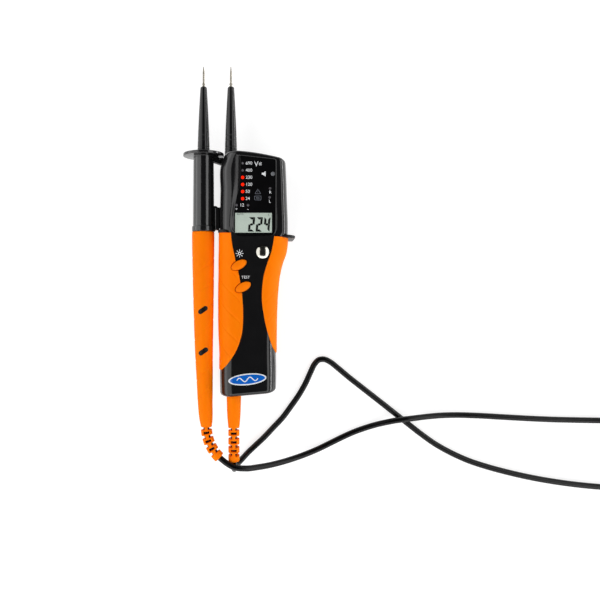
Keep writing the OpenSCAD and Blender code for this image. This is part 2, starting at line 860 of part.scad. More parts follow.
function box_top() = box_floor + cell_d + cell_gap;

function cover_screw_top() = box_top() - 2 * run_gap;

module battery_cells() {
    color("#3c6e50") for (side = [-1, 1]) {
        translate([box_x + side * (cell_d + cell_gap) / 2, box_y, box_floor + cell_d / 2 + fit_gap])
            rotate([side * quarter, 0, 0]) translate([0, 0, -cell_l / 2]) {
                cylinder(r = cell_d / 2, h = cell_l - contact_t);
                translate([0, 0, cell_l - contact_t]) cylinder(r = cell_d / 4, h = contact_t);
            }
    }
}

module battery_contacts() {
    plate = 0.5;
    color("#d8d8d0") for (end = [-1, 1]) {
        y = box_y + end * (box_l / 2 - plate / 2);
        block([box_x - box_w / 2 + run_gap, y - plate / 2, box_floor + fit_gap],
            [box_x + box_w / 2 - run_gap, y + plate / 2, box_floor + cell_d]);
        for (side = [-1, 1]) {
            translate([box_x + side * (cell_d + cell_gap) / 2, y, box_floor + cell_d / 2 + fit_gap])
                rotate([end * quarter, 0, 0]) cylinder(r = cell_d / 5, h = contact_t - plate / 2);
        }
    }
}

module battery_cover() {
    low = box_y - box_l / 2;
    high = box_y + box_l / 2;
    color("#161618") difference() {
        block([box_x - box_w / 2 - cover_lip, low - cover_tail, cover_sink],
            [box_x + box_w / 2 + cover_lip, high + cover_lip, cover_sink + cover_t]);
        translate([box_x, low - cover_tail / 2, -over]) {
            cylinder(r = screw_r + skin_gap, h = body_d);
            cylinder(r = screw_head_r + skin_gap, h = over + cover_sink + cover_t / 2);
        }
    }
}

module screw(low, high, head_t) {
    translate([0, 0, low]) cylinder(r = screw_head_r, h = head_t);
    translate([0, 0, low]) cylinder(r = screw_r, h = high - low);
}

module cover_screw() {
    y = box_y - box_l / 2 - cover_tail / 2;
    color("silver") translate([box_x, y, 0])
        screw(cover_sink + fit_gap, cover_screw_top() - run_gap, cover_t / 2 - fit_gap);
}

module shell_screws() {
    color("silver") for (s = screw_share) {
        p = place(s);
        translate([p.x, p.y, 0]) screw(screw_sink, screw_top - fit_gap, screw_head_t);
    }
}

// A ribbed strain relief bends evenly from the origin, heading -Y and turning towards +X.
// Windows on two faces and notches on the other two alternate, joined by webs.
module bent(angle, length) {
    r = length * half_turn / (PI * angle);
    translate([r, 0, 0]) rotate(half_turn) rotate_extrude(angle = angle, $fn = 96)
        translate([r, 0]) children();
}

module at_bend(along, angle, length) {
    r = length * half_turn / (PI * angle);
    translate([r, 0, 0]) rotate(half_turn + angle * along / length) translate([r, 0, 0]) children();
}

module relief_ribs(angle, faces) {
    reach = relief_r + over;
    difference() {
        bent(angle, ribbed_l) difference() {
            circle(r = relief_r);
            circle(r = cord_r + core_gap);
        }
        for (i = [0 : ribs - 1]) {
            at_bend(i * rib_pitch + rib_gap / 2, angle, ribbed_l) rotate([0, faces, 0])
                for (side = [-1, 1])
                    translate([side * (notch_web + reach / 2), 0, 0])
                        cube([reach, rib_gap, 2 * reach], center = true);
        }
        for (i = [0 : ribs - 2]) {
            at_bend(i * rib_pitch + (rib_pitch + rib_gap) / 2, angle, ribbed_l) rotate([0, faces, 0])
                for (side = [-1, 1])
                    translate([0, 0, side * (slot_reach + reach / 2)])
                        cube([slot_w, slot_h, reach], center = true);
        }
    }
}

module relief_cord(angle) {
    bent(angle, ribbed_l) circle(r = cord_r);
}

// Each relief has its frame where its ribs start. The main one droops towards the table.
module main_relief_place() {
    translate([main_x_relief(), relief_y - relief_sleeve_l, probe_z]) children();
}

module handset_relief_place() {
    translate([handset_relief_x, handset_relief_y, probe_z]) children();
}

module main_strain_relief() {
    l = relief_sleeve_l;
    neck = l + over + relief_shoulder;
    collar = l + over + collar_gap_l;
    color("#ff8200") main_relief_place() {
        turned(0, 0, [
            [cord_r + core_gap, 0], [relief_r, 0],
            [relief_r * 1.17, l * 0.3], [sleeve_root_r * 0.96, l * 0.7],
            [sleeve_root_r, neck - fit_gap], [relief_r, neck - fit_gap],
            [relief_r, collar + fit_gap], [sleeve_root_r, collar + fit_gap],
            [sleeve_root_r, collar + relief_collar_l - fit_gap],
            [cord_r + core_gap, collar + relief_collar_l - fit_gap]
        ]);
        rotate([0, quarter, 0]) relief_ribs(main_droop, quarter);
    }
}

module main_cord_end() {
    top = relief_sleeve_l + over + collar_gap_l + relief_collar_l;
    color("#0c0c0d") main_relief_place() {
        rotate([0, quarter, 0]) relief_cord(main_droop);
        turned(0, 0, [[0, 0], [cord_r, 0], [cord_r, top], [0, top]]);
    }
}

// Handset

module fin(y, l, slope) {
    root = fin_root(y, l);
    inner = handset_x;
    block_low = probe_z - fin_t / 2;
    prism([
        [inner, y + slope], [root, y], [root, y + l - slope / 2], [root - slope / 2, y + l], [inner, y + l]
    ], block_low, block_low + fin_t);
    block([root - over, y + fin_neck, probe_z - tongue_t / 2],
        [root + fin_gap + tongue_l, y + l - fin_neck, probe_z + tongue_t / 2]);
}

module handset_barrel() {
    low = flange_y - flange_t;
    color("#1a1a1c") difference() {
        union() {
            turned(handset_x, probe_z, [
                [0, flange_y], [flange_r - rim_r, flange_y], [flange_r, flange_y - rim_r],
                [flange_r, low + rim_r], [flange_r - rim_r, low], [barrel_top_r, low],
                [barrel_r, collar_y + collar_l], [collar_r - rim_r, collar_y + collar_l],
                [collar_r, collar_y + collar_l - rim_r], [collar_r, collar_y + rim_r],
                [collar_r - rim_r, collar_y], [0, collar_y]
            ]);
            fin(upper_fin_y(), upper_fin_l, 4);
            fin(lower_fin_y, lower_fin_l, 4);
        }
        turned(handset_x, probe_z, [
            [0, collar_y - over], [core_r + skin_gap, collar_y - over],
            [core_r + skin_gap, collar_y + plug_l],
            [barrel_bore_r, collar_y + plug_l + over], [barrel_bore_r, barrel_bore_top], [0, barrel_bore_top]
        ]);
        sleeve_seat(handset_x);
    }
}

module handset_core() {
    color("#141416") turned(handset_x, probe_z, [
        [core_bore_r, collar_y - core_l], [core_r, collar_y - core_l],
        [core_r, collar_y + plug_l], [core_bore_r, collar_y + plug_l]
    ]);
}

function grip_ring(row, e) = [for (i = [0 : grip_sides - 1])
    let (a = full_turn * i / grip_sides, r = row[1] * barrel_r - e)
    [handset_x + row[2] * barrel_r + r * cos(a), collar_y - row[0] * handset_grip_l, probe_z - r * sin(a)]];

function inlay_shift(i) = 0.03 * i * barrel_r;

module inlay_shape(i, gap, low) {
    y = collar_y - inlay_share[i] * handset_grip_l;
    shift = inlay_shift(i);
    r = inlay_w / 2 + gap;
    half = inlay_l / 2 - inlay_w / 2;
    translate([handset_x + shift, y, low]) rotate(inlay_turn) {
        for (side = [-1, 1]) translate([side * half, 0, 0]) cylinder(r = r, h = body_d - low);
        translate([-half, -r, 0]) cube([2 * half, 2 * r, body_d - low]);
    }
}

module handset_grip() {
    last = handset_grip_shares[len(handset_grip_shares) - 1];
    color("#ff8000") difference() {
        loft([for (row = handset_grip_shares) grip_ring(row, 0)]);
        turned(handset_x, probe_z, [
            [0, collar_y - core_l - fit_gap], [core_r + skin_gap, collar_y - core_l - fit_gap],
            [core_r + skin_gap, collar_y + over], [0, collar_y + over]
        ]);
        for (i = [0, 1]) inlay_shape(i, skin_gap, probe_z);
    }
}

module grip_inlays() {
    outer_shares = [0.938, 0.845];
    color("#141416") for (i = [0, 1]) {
        y = collar_y - inlay_share[i] * handset_grip_l;
        outer = outer_shares[i] * barrel_r - inlay_sink;
        intersection() {
            inlay_shape(i, 0, probe_z);
            turned(handset_x + inlay_shift(i), probe_z, [
                [0, y - inlay_l], [outer, y - inlay_l], [outer, y + inlay_l], [0, y + inlay_l]]);
            difference() {
                block([handset_x - barrel_r, y - inlay_l, probe_z],
                    [handset_x + barrel_r, y + inlay_l, body_d]);
                turned(handset_x, probe_z, [
                    [0, y - 2 * inlay_l], [core_r + skin_gap, y - 2 * inlay_l],
                    [core_r + skin_gap, y + 2 * inlay_l], [0, y + 2 * inlay_l]]);
            }
        }
    }
}

module handset_sleeve() {
    sleeve(handset_x);
}

module handset_pin() {
    probe_pin(handset_x);
}

// The protective resistor on its strip of board inside the barrel
module resistor_board() {
    low = collar_y + plug_l + 2 * over;
    high = barrel_bore_top - over;
    half = barrel_bore_r * 0.94;
    t = board_t / 2;
    color("#1e6b3a") block([handset_x - half, low, probe_z - t], [handset_x + half, high, probe_z]);
    color("#c8b48c") translate([handset_x, low + over, probe_z]) intersection() {
        along_y() cylinder(r = barrel_bore_r / 2, h = (high - low) / 2);
        block([-barrel_bore_r, 0, 0], [barrel_bore_r, head_l, barrel_bore_r]);
    }
}

module handset_strain_relief() {
    color("#ff8200") handset_relief_place() relief_ribs(handset_bend, 0);
}

module handset_cord_end() {
    color("#0c0c0d") handset_relief_place() relief_cord(handset_bend);
}

// Cord: each ring stands across the mean direction of the route at its point

function unit(v) = v / norm(v);

function cord_ring(p, along, r, sides) =
    let (side = unit(cross(along, [0, 0, 1])), up = cross(side, along))
    [for (i = [0 : sides - 1]) let (a = full_turn * (i + 0.5) / sides) p + r * (cos(a) * side + sin(a) * up)];

function cord_rings(points, first, final, r, sides) =
    let (last = len(points) - 1)
    [for (i = [0 : last])
        let (along = i == 0 ? first : i == last ? final : unit(points[i + 1] - points[i - 1]))
        cord_ring(points[i], along, r, sides)];

// Where each relief ends and which way it points there
main_bend_r = ribbed_l * half_turn / (PI * main_droop);
main_exit = [main_x_relief(), relief_y - relief_sleeve_l - main_bend_r * sin(main_droop),
    probe_z - main_bend_r * (1 - cos(main_droop))];
main_heading = [0, -cos(main_droop), -sin(main_droop)];
handset_bend_r = ribbed_l * half_turn / (PI * handset_bend);
handset_exit = [handset_relief_x + handset_bend_r * (1 - cos(handset_bend)),
    handset_relief_y - handset_bend_r * sin(handset_bend), probe_z];
handset_heading = [sin(handset_bend), -cos(handset_bend), 0];

// The coil winds inwards, climbs one layer in the half turn where it turns back, and winds outwards
coil_climb = half_turn;
coil_sweep = 2 * coil_turns_in * full_turn + coil_climb;

function coil_point(a) =
    let (
        wind = coil_turns_in * full_turn,
        inward = min(a, coil_sweep - a),
        rise = min(max((a - wind) / coil_climb, 0), 1),
        r = coil_r - coil_pitch * inward / full_turn
    )
    [coil_mid.x + r * cos(a - quarter), coil_mid.y + r * sin(a - quarter), coil_low_z + coil_pitch * rise];

coil_path = concat(
    [coil_point(0) - [cord_d, 0, 0]],
    [for (i = [0 : rings_a_turn * coil_sweep / full_turn]) coil_point(i * full_turn / rings_a_turn)],
    [coil_point(coil_sweep) - [cord_d, 0, 0]]
);

function self_gap(points, skip) =
    let (last = len(points) - 1)
    min([for (i = [0 : last], j = [i + skip : 1 : last]) norm(points[i] - points[j])]) - cord_d;

echo(coil_self_gap = self_gap(coil_path, 12));

// A route lifted to suit the cord's radius
function raised(route) = [for (p = route) p + [0, 0, cord_r - route_r]];

module cord_main_run() {
    points = concat([main_exit], raised(main_route), [coil_path[0]]);
    color("#0c0c0d") loft(cord_rings(points, main_heading, [1, 0, 0], cord_r, cord_sides));
}

module cord_coil() {
    color("#0c0c0d") loft(cord_rings(coil_path, [1, 0, 0], [-1, 0, 0], cord_r, coil_sides));
}

module cord_handset_run() {
    points = concat([handset_exit], raised(handset_route), [coil_path[len(coil_path) - 1]]);
    color("#0c0c0d") loft(cord_rings(points, handset_heading, [1, 0, 0], cord_r, cord_sides));
}

front_shell();
rear_shell();
left_grip();
right_grip();
display_window();
lcd_module();
lit_lamps();
dark_lamps();
polarity_lamps();
round_lens();
badge_plate();
touch_electrode();
lamp_button();
test_button();
main_sleeve();
main_pin();
head_light();
circuit_board();
push_switches();
buzzer();
battery_cells();
battery_contacts();
battery_cover();
cover_screw();
shell_screws();
main_strain_relief();
main_cord_end();
handset_barrel();
handset_core();
handset_grip();
grip_inlays();
handset_sleeve();
handset_pin();
resistor_board();
handset_strain_relief();
handset_cord_end();
cord_main_run();
cord_coil();
cord_handset_run();
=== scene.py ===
"""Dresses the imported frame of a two-pole voltage tester that lies on its back with its handset docked.

Every length in the tables is in millimetres, in the frame's own axes: X to the right of the display,
Y towards the probe tips, Z up. A piece is put into its mesh in metres and its object stays at the origin.
"""

import math

import bmesh
import bpy
import numpy as np
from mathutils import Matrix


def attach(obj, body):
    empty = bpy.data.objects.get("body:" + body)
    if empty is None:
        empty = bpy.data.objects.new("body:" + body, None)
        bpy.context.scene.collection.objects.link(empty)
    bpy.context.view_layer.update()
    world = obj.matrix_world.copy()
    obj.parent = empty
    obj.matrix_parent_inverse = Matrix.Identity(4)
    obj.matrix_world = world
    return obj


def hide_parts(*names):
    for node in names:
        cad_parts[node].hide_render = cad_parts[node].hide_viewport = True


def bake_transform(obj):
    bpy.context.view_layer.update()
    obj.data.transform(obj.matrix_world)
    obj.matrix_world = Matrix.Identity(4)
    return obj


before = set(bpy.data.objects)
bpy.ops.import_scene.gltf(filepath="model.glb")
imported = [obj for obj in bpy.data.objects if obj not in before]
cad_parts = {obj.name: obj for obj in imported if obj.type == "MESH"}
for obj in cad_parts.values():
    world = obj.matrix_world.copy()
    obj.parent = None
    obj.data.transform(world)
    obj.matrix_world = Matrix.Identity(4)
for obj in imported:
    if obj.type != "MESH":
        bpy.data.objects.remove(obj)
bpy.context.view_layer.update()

bl_info = {
    "name": "Two-Pole Voltage Tester",
    "version": (1, 0, 0),
    "blender": (4, 5, 0),
    "location": "View3D > Sidebar > Tester",
    "description": "Adds the visible surfaces, finishes and studio of a two-pole voltage tester",
    "category": "Object",
}

MM = 0.001
NEAR_AXIS = 0.001
PROBE_Z = 20.0
MAIN_X = -15.4
HANDSET_X = -34.4
SLEEVE_Y = 56.697
SLEEVE_FOOT = 3.2
SLEEVE_L = 47.0
HEAD_L = 55.3
GRIP_L = 109.5
HALF_W = 23.0
BODY_D = 36.0
WINDOW_TOP = 34.8
BOARD_TOP = 23.6
GUARD_TURN = math.radians(-4.5)
GUARD_Y = 1.5
GUARD_THICK = 2.0
END_BOW = 0.0032

# Stations of the housing: place along it, left and right edge, front, and slant
HOUSING = np.array([
    [-1.00, 0.985, 0.695, 0.862, 0.09], [-0.87, 1.001, 0.703, 0.868, 0.07],
    [-0.74, 0.997, 0.693, 0.862, 0.04], [-0.60, 1.027, 0.698, 0.856, 0.01],
    [-0.46, 1.033, 0.712, 0.860, -0.02], [-0.35, 1.032, 0.739, 0.872, -0.04],
    [-0.25, 1.020, 0.790, 0.888, -0.05], [-0.17, 1.019, 0.872, 0.908, -0.06],
    [-0.10, 1.010, 0.981, 0.932, -0.07], [-0.03, 1.005, 1.024, 0.970, -0.08],
    [0.02, 1.000, 1.034, 1.000, -0.08], [0.50, 0.985, 1.013, 1.000, -0.11],
    [0.86, 0.955, 0.985, 1.000, -0.13], [1.00, 0.820, 0.968, 1.000, -0.14],
]) * [1.0, HALF_W, HALF_W, BODY_D, 1.0]
HOUSING[:, 0] *= np.where(HOUSING[:, 0] > 0, HEAD_L, GRIP_L)
LEFT_EDGE = (0.43 * HALF_W, 0.36 * BODY_D)
RIGHT_EDGE = (0.33 * HALF_W, 0.33 * BODY_D)
HEAD_EDGE = (0.21 * HALF_W, 0.24 * BODY_D)
BACK_EDGE = (0.26 * HALF_W, 0.2 * BODY_D)
END_R, HEAD_END_R = 2.6, 2.2

# Inner edge of each grip on the front: place along the housing and distance across it
LEFT_GRIP = np.array([
    [-0.838, -0.95], [-0.80, -0.76], [-0.755, -0.595], [-0.71, -0.475], [-0.655, -0.375], [-0.60, -0.315],
    [-0.53, -0.29], [-0.44, -0.297], [-0.345, -0.338], [-0.25, -0.417], [-0.163, -0.515],
    [-0.05, -0.62], [0.030, -0.65],
]) * [GRIP_L, HALF_W]
RIGHT_GRIP = np.array([
    [-0.75, 0.69], [-0.702, 0.575], [-0.642, 0.478], [-0.575, 0.388], [-0.496, 0.317], [-0.425, 0.27],
    [-0.367, 0.262], [-0.308, 0.28], [-0.237, 0.335], [-0.17, 0.43], [-0.10, 0.54], [0.0, 0.63],
]) * [GRIP_L, HALF_W]

# The window: its corners, how far each curve reaches from its corner, and the width of the ledge beside it
WINDOW = np.array([
    [-0.365, 0.955], [-0.38, 0.618], [-0.46, 0.484], [-0.548, 0.299], [-0.56, 0.165], [-0.565, 0.093],
    [-0.54, 0.01], [-0.40, -0.031], [0.58, -0.015], [0.65, 0.036], [0.66, 0.902],
]) * [HALF_W, HEAD_L]
WINDOW_REACH = (1.2, 9, 9, 9, 9, 9, 4, 3, 1.5, 1.5, 1.2)
LEDGE = np.array([3.9, 3.9, 2.5, 1.5, 2.1, 2.3, 0.8, 0, 0, 0, 0])
LCD_BOX = (-12.1, 0.75, 12.9, 14.25)
LCD_TOP = 34.5

# Lamps, the ladder's figures from its top, and other marks by text, place and height
LAMP_X, LAMP_TOP_Y, LAMP_PITCH, LAMP_R = -6.9, 47.6, 4.76, 1.35
LADDER = ("690", "400", "230", "120", "50", "24")
DARK_LAMPS = 2
SMALL_LAMPS = [(-10.99, 19.3), (-3.29, 19.3), (11.59, 30.64), (11.29, 24.61)]
LENS = (13.455, 40.48)
SIGNS = [("V", 2.3, 47.05, 3.2), ("R", 11.7, 28.0, 1.9), ("L", 11.4, 21.9, 1.9)]
SPEAKER = [[-1.35, -0.65], [-0.45, -0.65], [1.3, -1.75], [1.3, 1.75], [-0.45, 0.65], [-1.35, 0.65]]
SPEAKER_AT = (7.3, 40.5)
CURRENT_AT = (5.0, 47.05)
TRIANGLE = [[-2.2, -1.6], [2.2, -1.6], [0, 2.1]]
TRIANGLE_AT = (3.35, 28.5)
SUN_AT = (-9.0, -13.1)

BUTTONS = {"lamp_button": (-9.43, -20.805), "test_button": (-6.67, -35.81)}
BUTTON_HALF = (5.6, 2.9)
BUTTON_TURN = math.radians(28)
BUTTON_GAP = 0.3
ELECTRODE = (6.6, -12.155)
ELECTRODE_R, DOME_R = 4.3, 8.6
BADGE = (-3.795, -98.55)
BADGE_HALF = (13.0, 3.9)
BADGE_TURN = math.radians(6)
SCREWS = [(-17.595, 34.175), (17.25, 43.91), (2.76, -104.57)]
BATTERY_BOX = (-14.8, -92.31, 7.8, -45.01)
COVER = (-17.2, -100.31, 10.2, -42.61)
COVER_SCREW = (-3.5, -96.31)

# Sections of the handset's grip: place along it, radius, and how far its middle stands to the right
HANDSET_GRIP = np.array([
    [0.00, 1.050, -0.042], [0.02, 1.050, -0.042], [0.25, 0.995, -0.027], [0.50, 0.900, 0.007],
    [0.62, 0.840, 0.03], [0.72, 0.787, 0.078], [0.80, 0.742, 0.115], [0.88, 0.696, 0.149],
    [0.95, 0.637, 0.209], [0.975, 0.590, 0.236], [0.99, 0.537, 0.253], [1.00, 0.527, 0.257],
]) * [135.8, 7.4, 7.4]
COLLAR_Y = 2.75
FLANGE_Y = 57.097
WINDING = 14.25
# Inlays: place of each, the radius over which it lies, its slant and half the length between its round ends
INLAYS = [(-34.4, -51.57), (-34.178, -80.09)]
INLAY_TOPS = (6.69, 6.0)
INLAY_TURN = math.radians(35)
INLAY_HALF = 2.1
# Docking fins: place, length and right end of each
FINS = [(48.897, 6.2, -22.38), (4.2, 16.4, -23.353)]

MAIN_RELIEF = (-13.34, -133.5)
HANDSET_RELIEF = (-32.498, -133.05)
RIB_PITCH, RIB_GAP, RIBS = 5.95, 1.5, 4
RIBBED_L = RIBS * RIB_PITCH
RELIEF_SIDES = 168
NECK = np.array([[0.0, 3.9], [0.3, 4.56], [0.7, 4.94], [1.0, 5.15]]) * [24.4, 1]
MAIN_BEND_R = RIBBED_L / math.radians(12)
HANDSET_BEND_R = RIBBED_L / math.radians(46)

# Points of the two strands, and the coil outside the view
MAIN_ROUTE = [
    [-13.3, -159.1, 17.1], [-13.3, -162.2, 15.6], [-13.3, -164.3, 13], [-13.2, -165.1, 9.7],
    [-12.3, -164.4, 5.9], [-10.3, -162.4, 3.1], [-7.6, -159.7, 2.05], [-4.2, -156, 2],
    [1, -151, 2], [7.9, -144.5, 2], [14.4, -137.6, 2], [20.9, -130.7, 2], [27.4, -122, 2],
    [33, -114, 2], [38, -105.2, 2], [42, -96.4, 2], [44.4, -91.6, 2], [47.6, -88.4, 2],
    [51.6, -88, 2], [55.6, -89.8, 2], [61.5, -94.4, 2], [69, -100.7, 2], [77.5, -107.4, 2],
    [86.2, -114.2, 2], [94.9, -121, 2], [103.6, -127.9, 2], [112.3, -134.8, 2], [121.5, -142, 2],
    [132, -149.4, 2], [143.5, -155.8, 2], [156, -161.4, 2], [170, -166, 2], [185, -170, 2],
    [201, -173.6, 2], [218, -176.6, 2], [236, -179, 2], [254, -180.6, 2], [269, -181.1, 2],
]
HANDSET_ROUTE = [
    [-18.8, -157.9, 20.9], [-13.2, -160.7, 21.9], [-5, -162, 20.6], [3.5, -162, 17.2],
    [12, -161.5, 13.5], [20.6, -160.3, 10.1], [29.4, -158.4, 7.2], [38.1, -155.9, 4.9],
    [46.9, -152.7, 3.2], [55.7, -148.7, 2.3], [64.4, -144.5, 2], [73.1, -140.6, 2],
    [81.8, -137.4, 2.4], [89, -135, 3.4], [96, -133, 5], [102.8, -131.4, 6.4],
    [109, -130.5, 6.7], [115.7, -129.9, 5.9], [124.8, -129.2, 4.1], [135, -128.6, 2.7],
    [146, -128.4, 2], [162, -128.8, 2], [180, -129.8, 2], [198, -130.8, 2],
    [216, -131.6, 2], [234, -132, 2.2], [250, -132.1, 3.1], [266, -131.9, 5],
]
ROUTE_LIFT = [0, 0, 0.2]
COIL = (286, -156.4, 2.2)
COIL_R, COIL_TURNS, COIL_PITCH = 24.8, 3.5, 4.7

# Lamps of the studio: turn across and along the tester in degrees, width, depth and radiance
LIGHTS = (("left_box", -58.5, 0, 1.96, 3.0, 1.9), ("right_box", 44, 0, 0.8, 3.0, 2.5),
          ("right_rim", 86, 0, 0.13, 2.2, 18.0), ("front_box", 0, -50, 2.4, 0.9, 2.6))
LIGHT_AWAY = 1.6
LIGHT_POWER = 2.5

# Finishes by their material's name: slot, colour as a property or a screen colour, roughness, grain, lift,
# spread, drift, unevenness, stretch, and other sockets. A finish of the frame's own parts needs no slot.
FINISHES = {
    "housing_plastic": ("housing_black", "housing", 0.15, 0.35, 0.003, 0.10, 9.0, 0.04, None,
                        {"Specular IOR Level": 0.5}),
    "barrel_plastic": ("housing_black", "housing", 0.15, 0.30, 0.003, 0.10, 9.0, 0.04, None,
                       {"Specular IOR Level": 0.78}),
    "sleeve_plastic": ("sleeve_black", "housing", 0.09, 0.3, 0.002, 0.10, 9.0, 0.03, None,
                       {"Specular IOR Level": 0.42}),
    "core_plastic": ("housing_black", "0A0A0C", 0.4, 0.3, 0.010, 0.1, 9.0, 0.06, None,
                     {"Specular IOR Level": 0.25}),
    "grip_rubber": ("grip_orange", "grip", 0.52, 0.22, 0.012, 0.03, 14.0, 0.06, None,
                    {"Specular IOR Level": 0.05, "Subsurface Weight": 0.15, "Subsurface Scale": 0.0012,
                     "Subsurface Radius": (1.0, 0.25, 0.08)}),
    "button_rubber": ("button_orange", "grip", 0.42, 0.18, 0.006, 0.03, 5.0, 0.06, None,
                      {"Specular IOR Level": 0.1}),
    "cord_skin": ("cord_black", "cord", 0.24, 0.5, 0.006, 0.12, 6.0, 0.05, None, {"Specular IOR Level": 0.25}),
    "window_panel": ("window_black", "window", 0.12, 0.8, 0.001, 0.2, 12.0, 0.03),
    "mark_print": ("badge_blue", "marks", 0.5, 0.1, 0.002, 0.04, 1.0),
    "dim_print": ("badge_blue", "dim_marks", 0.5, 0.1, 0.002, 0.1, 1.0),
    "display_reflector": ("lcd_grey_green", "display", 0.28, 0.06, 0.001, 0.035, 6.0),
    "display_segments": ("window_black", "ink", 0.3, 0.1, 0.001, 0.2, 3.0),
    "lamp_lens_lit": ("lamp_red", "lamp_lit", 0.55),
    # Painted glint: this grey lens colour of the unlit lamps stands in for their reflection
    "lamp_lens_dark": ("lamp_dark", "lamp_dark", 0.2, 0.3, 0.002, 0.15, 1.5),
    "sensor_lens": ("lens_grey", "6E7074", 0.22, 0.3, 0.002, 0.1, 1.5),
    "head_light_lens": ("", "DDE4EA", 0.08, 0.6, 0.002, 0.05, 2.0, 0.06, None, {"Transmission Weight": 0.5}),
    "badge_enamel": ("badge_blue", "badge", 0.2, 0.3, 0.002, 0.06, 6.0, 0.06, None, {"Coat Weight": 0.4}),
    "badge_pale_enamel": ("badge_blue", "marks", 0.22, 0.3, 0.002, 0.03, 6.0),
    "plated_metal": ("electrode_metal", "metal", 0.16, 0.12, 0.0015, 0.05, 3.0, 0.05, None, {"Metallic": 1.0}),
    "pin_metal": ("pin_metal", "9C978C", 0.2, 0.15, 0.003, 0.08, 2.0, 0.07, (1.0, 0.12, 1.0), {"Metallic": 1.0}),
    "zinc_steel": ("steel", "A9ABAD", 0.3, 0.2, 0.004, 0.12, 1.5, 0.1, None, {"Metallic": 1.0}),
    "board_laminate": ("", "1E6B3A", 0.4, 0.2, 0.008, 0.12, 1.2),
    "switch_plastic": ("", "202022", 0.45, 0.2, 0.008, 0.1),
    "cell_sleeve": ("", "3C6E50", 0.3, 0.4, 0.003, 0.1, 5.0, 0.05, (1.0, 0.2, 1.0)),
}
FRAME_FINISHES = {
    "circuit_board": "board_laminate", "resistor_board": "board_laminate", "push_switches": "switch_plastic",
    "buzzer": "switch_plastic", "battery_cells": "cell_sleeve", "battery_contacts": "zinc_steel",
    "head_light": "head_light_lens", "handset_core": "core_plastic", "main_cord_end": "cord_skin",
    "handset_cord_end": "cord_skin",
}
MADE = {}


def shade(code):
    """Scene-linear colour of a six-digit screen colour."""
    part = np.array([int(code[i:i + 2], 16) for i in (0, 2, 4)]) / 255
    return tuple(np.where(part > 0.04045, ((part + 0.055) / 1.055) ** 2.4, part / 12.92))


def length(name, description, default):
    return bpy.props.FloatProperty(name=name, description=description, default=default, min=0.0,
                                   precision=5, subtype="DISTANCE", unit="LENGTH")


def colour(name, description, code):
    return bpy.props.FloatVectorProperty(name=name, description=description, default=shade(code), size=3,
                                         min=0.0, max=1.0, subtype="COLOR")


class TesterSizes(bpy.types.PropertyGroup):
    """Sizes of the visible detail."""
    cord_diameter: length("Cord diameter", "Outer diameter of the test cord", 0.0042)
    grip_proud: length("Grip height", "How far the soft grips stand proud of the housing", 0.0008)
    groove_depth: length("Groove depth", "Depth of the slanting grooves in the grips", 0.00028)
    groove_width: length("Groove width", "Half width of a groove in the grips", 0.0006)
    groove_pitch: length("Groove pitch", "Spacing of the grooves along the grips", 0.01465)
    window_lip: length("Window lip", "Rounding of the rim round the window", 0.0008)
    parting: length("Parting line", "Chamfer of the housing halves where they meet", 0.00022)
    edge_round: length("Edge rounding", "Rounding of the barrel's moulded edges", 0.0006)
    label_height: length("Label height", "Height of the voltage figures", 0.0021)
    digit_height: length("Digit height", "Height of the digits in the display", 0.0082)
    print_height: length("Print height", "How far the drawn marks stand above their surface", 0.00003)
    badge_rim: length("Badge rim", "Width of the badge's pale rim", 0.0009)


class TesterColours(bpy.types.PropertyGroup):
    """Colours of the finishes."""
    housing: colour("Housing", "Glass-filled housing plastic", "131314")
    grip: colour("Grip", "Soft rubber of the grips", "FF7C00")
    window: colour("Window", "Back-printed display window", "0A0A0B")
    marks: colour("Marks", "Printed figures and symbols", "E4E6E8")
    dim_marks: colour("Dim marks", "Symbols that are not lit", "5A5E66")
    display: colour("Display", "Reflector behind the liquid crystal", "B9C6BB")
    ink: colour("Ink", "Liquid crystal segments", "080B0A")
    lamp_lit: colour("Lit lamp", "Level lamps that are on", "FF1E00")
    # Painted glint: the grey of the unlit lamps stands in for the reflection on their lenses
    lamp_dark: colour("Dark lamp", "Level lamps that are off", "5C5A5E")
    badge: colour("Badge", "Field of the badge", "0A5FBE")
    metal: colour("Metal", "Plated steel and nickel", "C9C6BC")
    cord: colour("Cord", "Outer skin of the test cord", "060607")


# Numbers


def mm(name):
    """A size of the property group, in millimetres."""
    return getattr(bpy.context.scene.tester_sizes, name) / MM


def through(rows, at):
    """A table read between its rows: one cubic a gap, whose slope at each row is that of the parabola
    through the row and its two neighbours."""
    key, value = rows[:, 0], rows[:, 1:]
    slope = np.gradient(value, key, axis=0)
    at = np.clip(at, key[0], key[-1])
    i = np.clip(np.searchsorted(key, at) - 1, 0, len(key) - 2)
    gap = (key[i + 1] - key[i])[..., None]
    t = (at - key[i])[..., None] / gap
    return ((2 * t**3 - 3 * t**2 + 1) * value[i] + (t**3 - 2 * t**2 + t) * gap * slope[i]
            + (3 * t**2 - 2 * t**3) * value[i + 1] + (t**3 - t**2) * gap * slope[i + 1])


def columns(rows, at):
    """The values of a table at each place, one upright column each."""
    return [column[:, None] for column in through(rows, at[:, 0]).T]


def ramp(x, low, high):
    """Zero below low, one above high, and 3t squared less 2t cubed between them."""
    t = np.clip((x - low) / (high - low), 0, 1)
    return t * t * (3 - 2 * t)


def fallen(share):
    """How far a quarter circle of radius one has fallen at a share of it: 1 - root(1 - share squared)."""
    return 1 - np.sqrt(1 - np.clip(share, 0, 1)**2)


def crowded(stop, swing, steps):
    """Places from 0 to stop that crowd at both ends: stop (v - swing sin(2 pi v) / 2 pi)."""
    v = np.linspace(0, 1, steps)[:, None]
    return stop * (v - swing * np.sin(2 * np.pi * v) / (2 * np.pi))


def oval(a, b, steps=96):
    """The ellipse x = a cos t, y = b sin t."""
    t = np.linspace(0, 2 * np.pi, steps, endpoint=False)
    return np.stack([a * np.cos(t), b * np.sin(t)], -1)


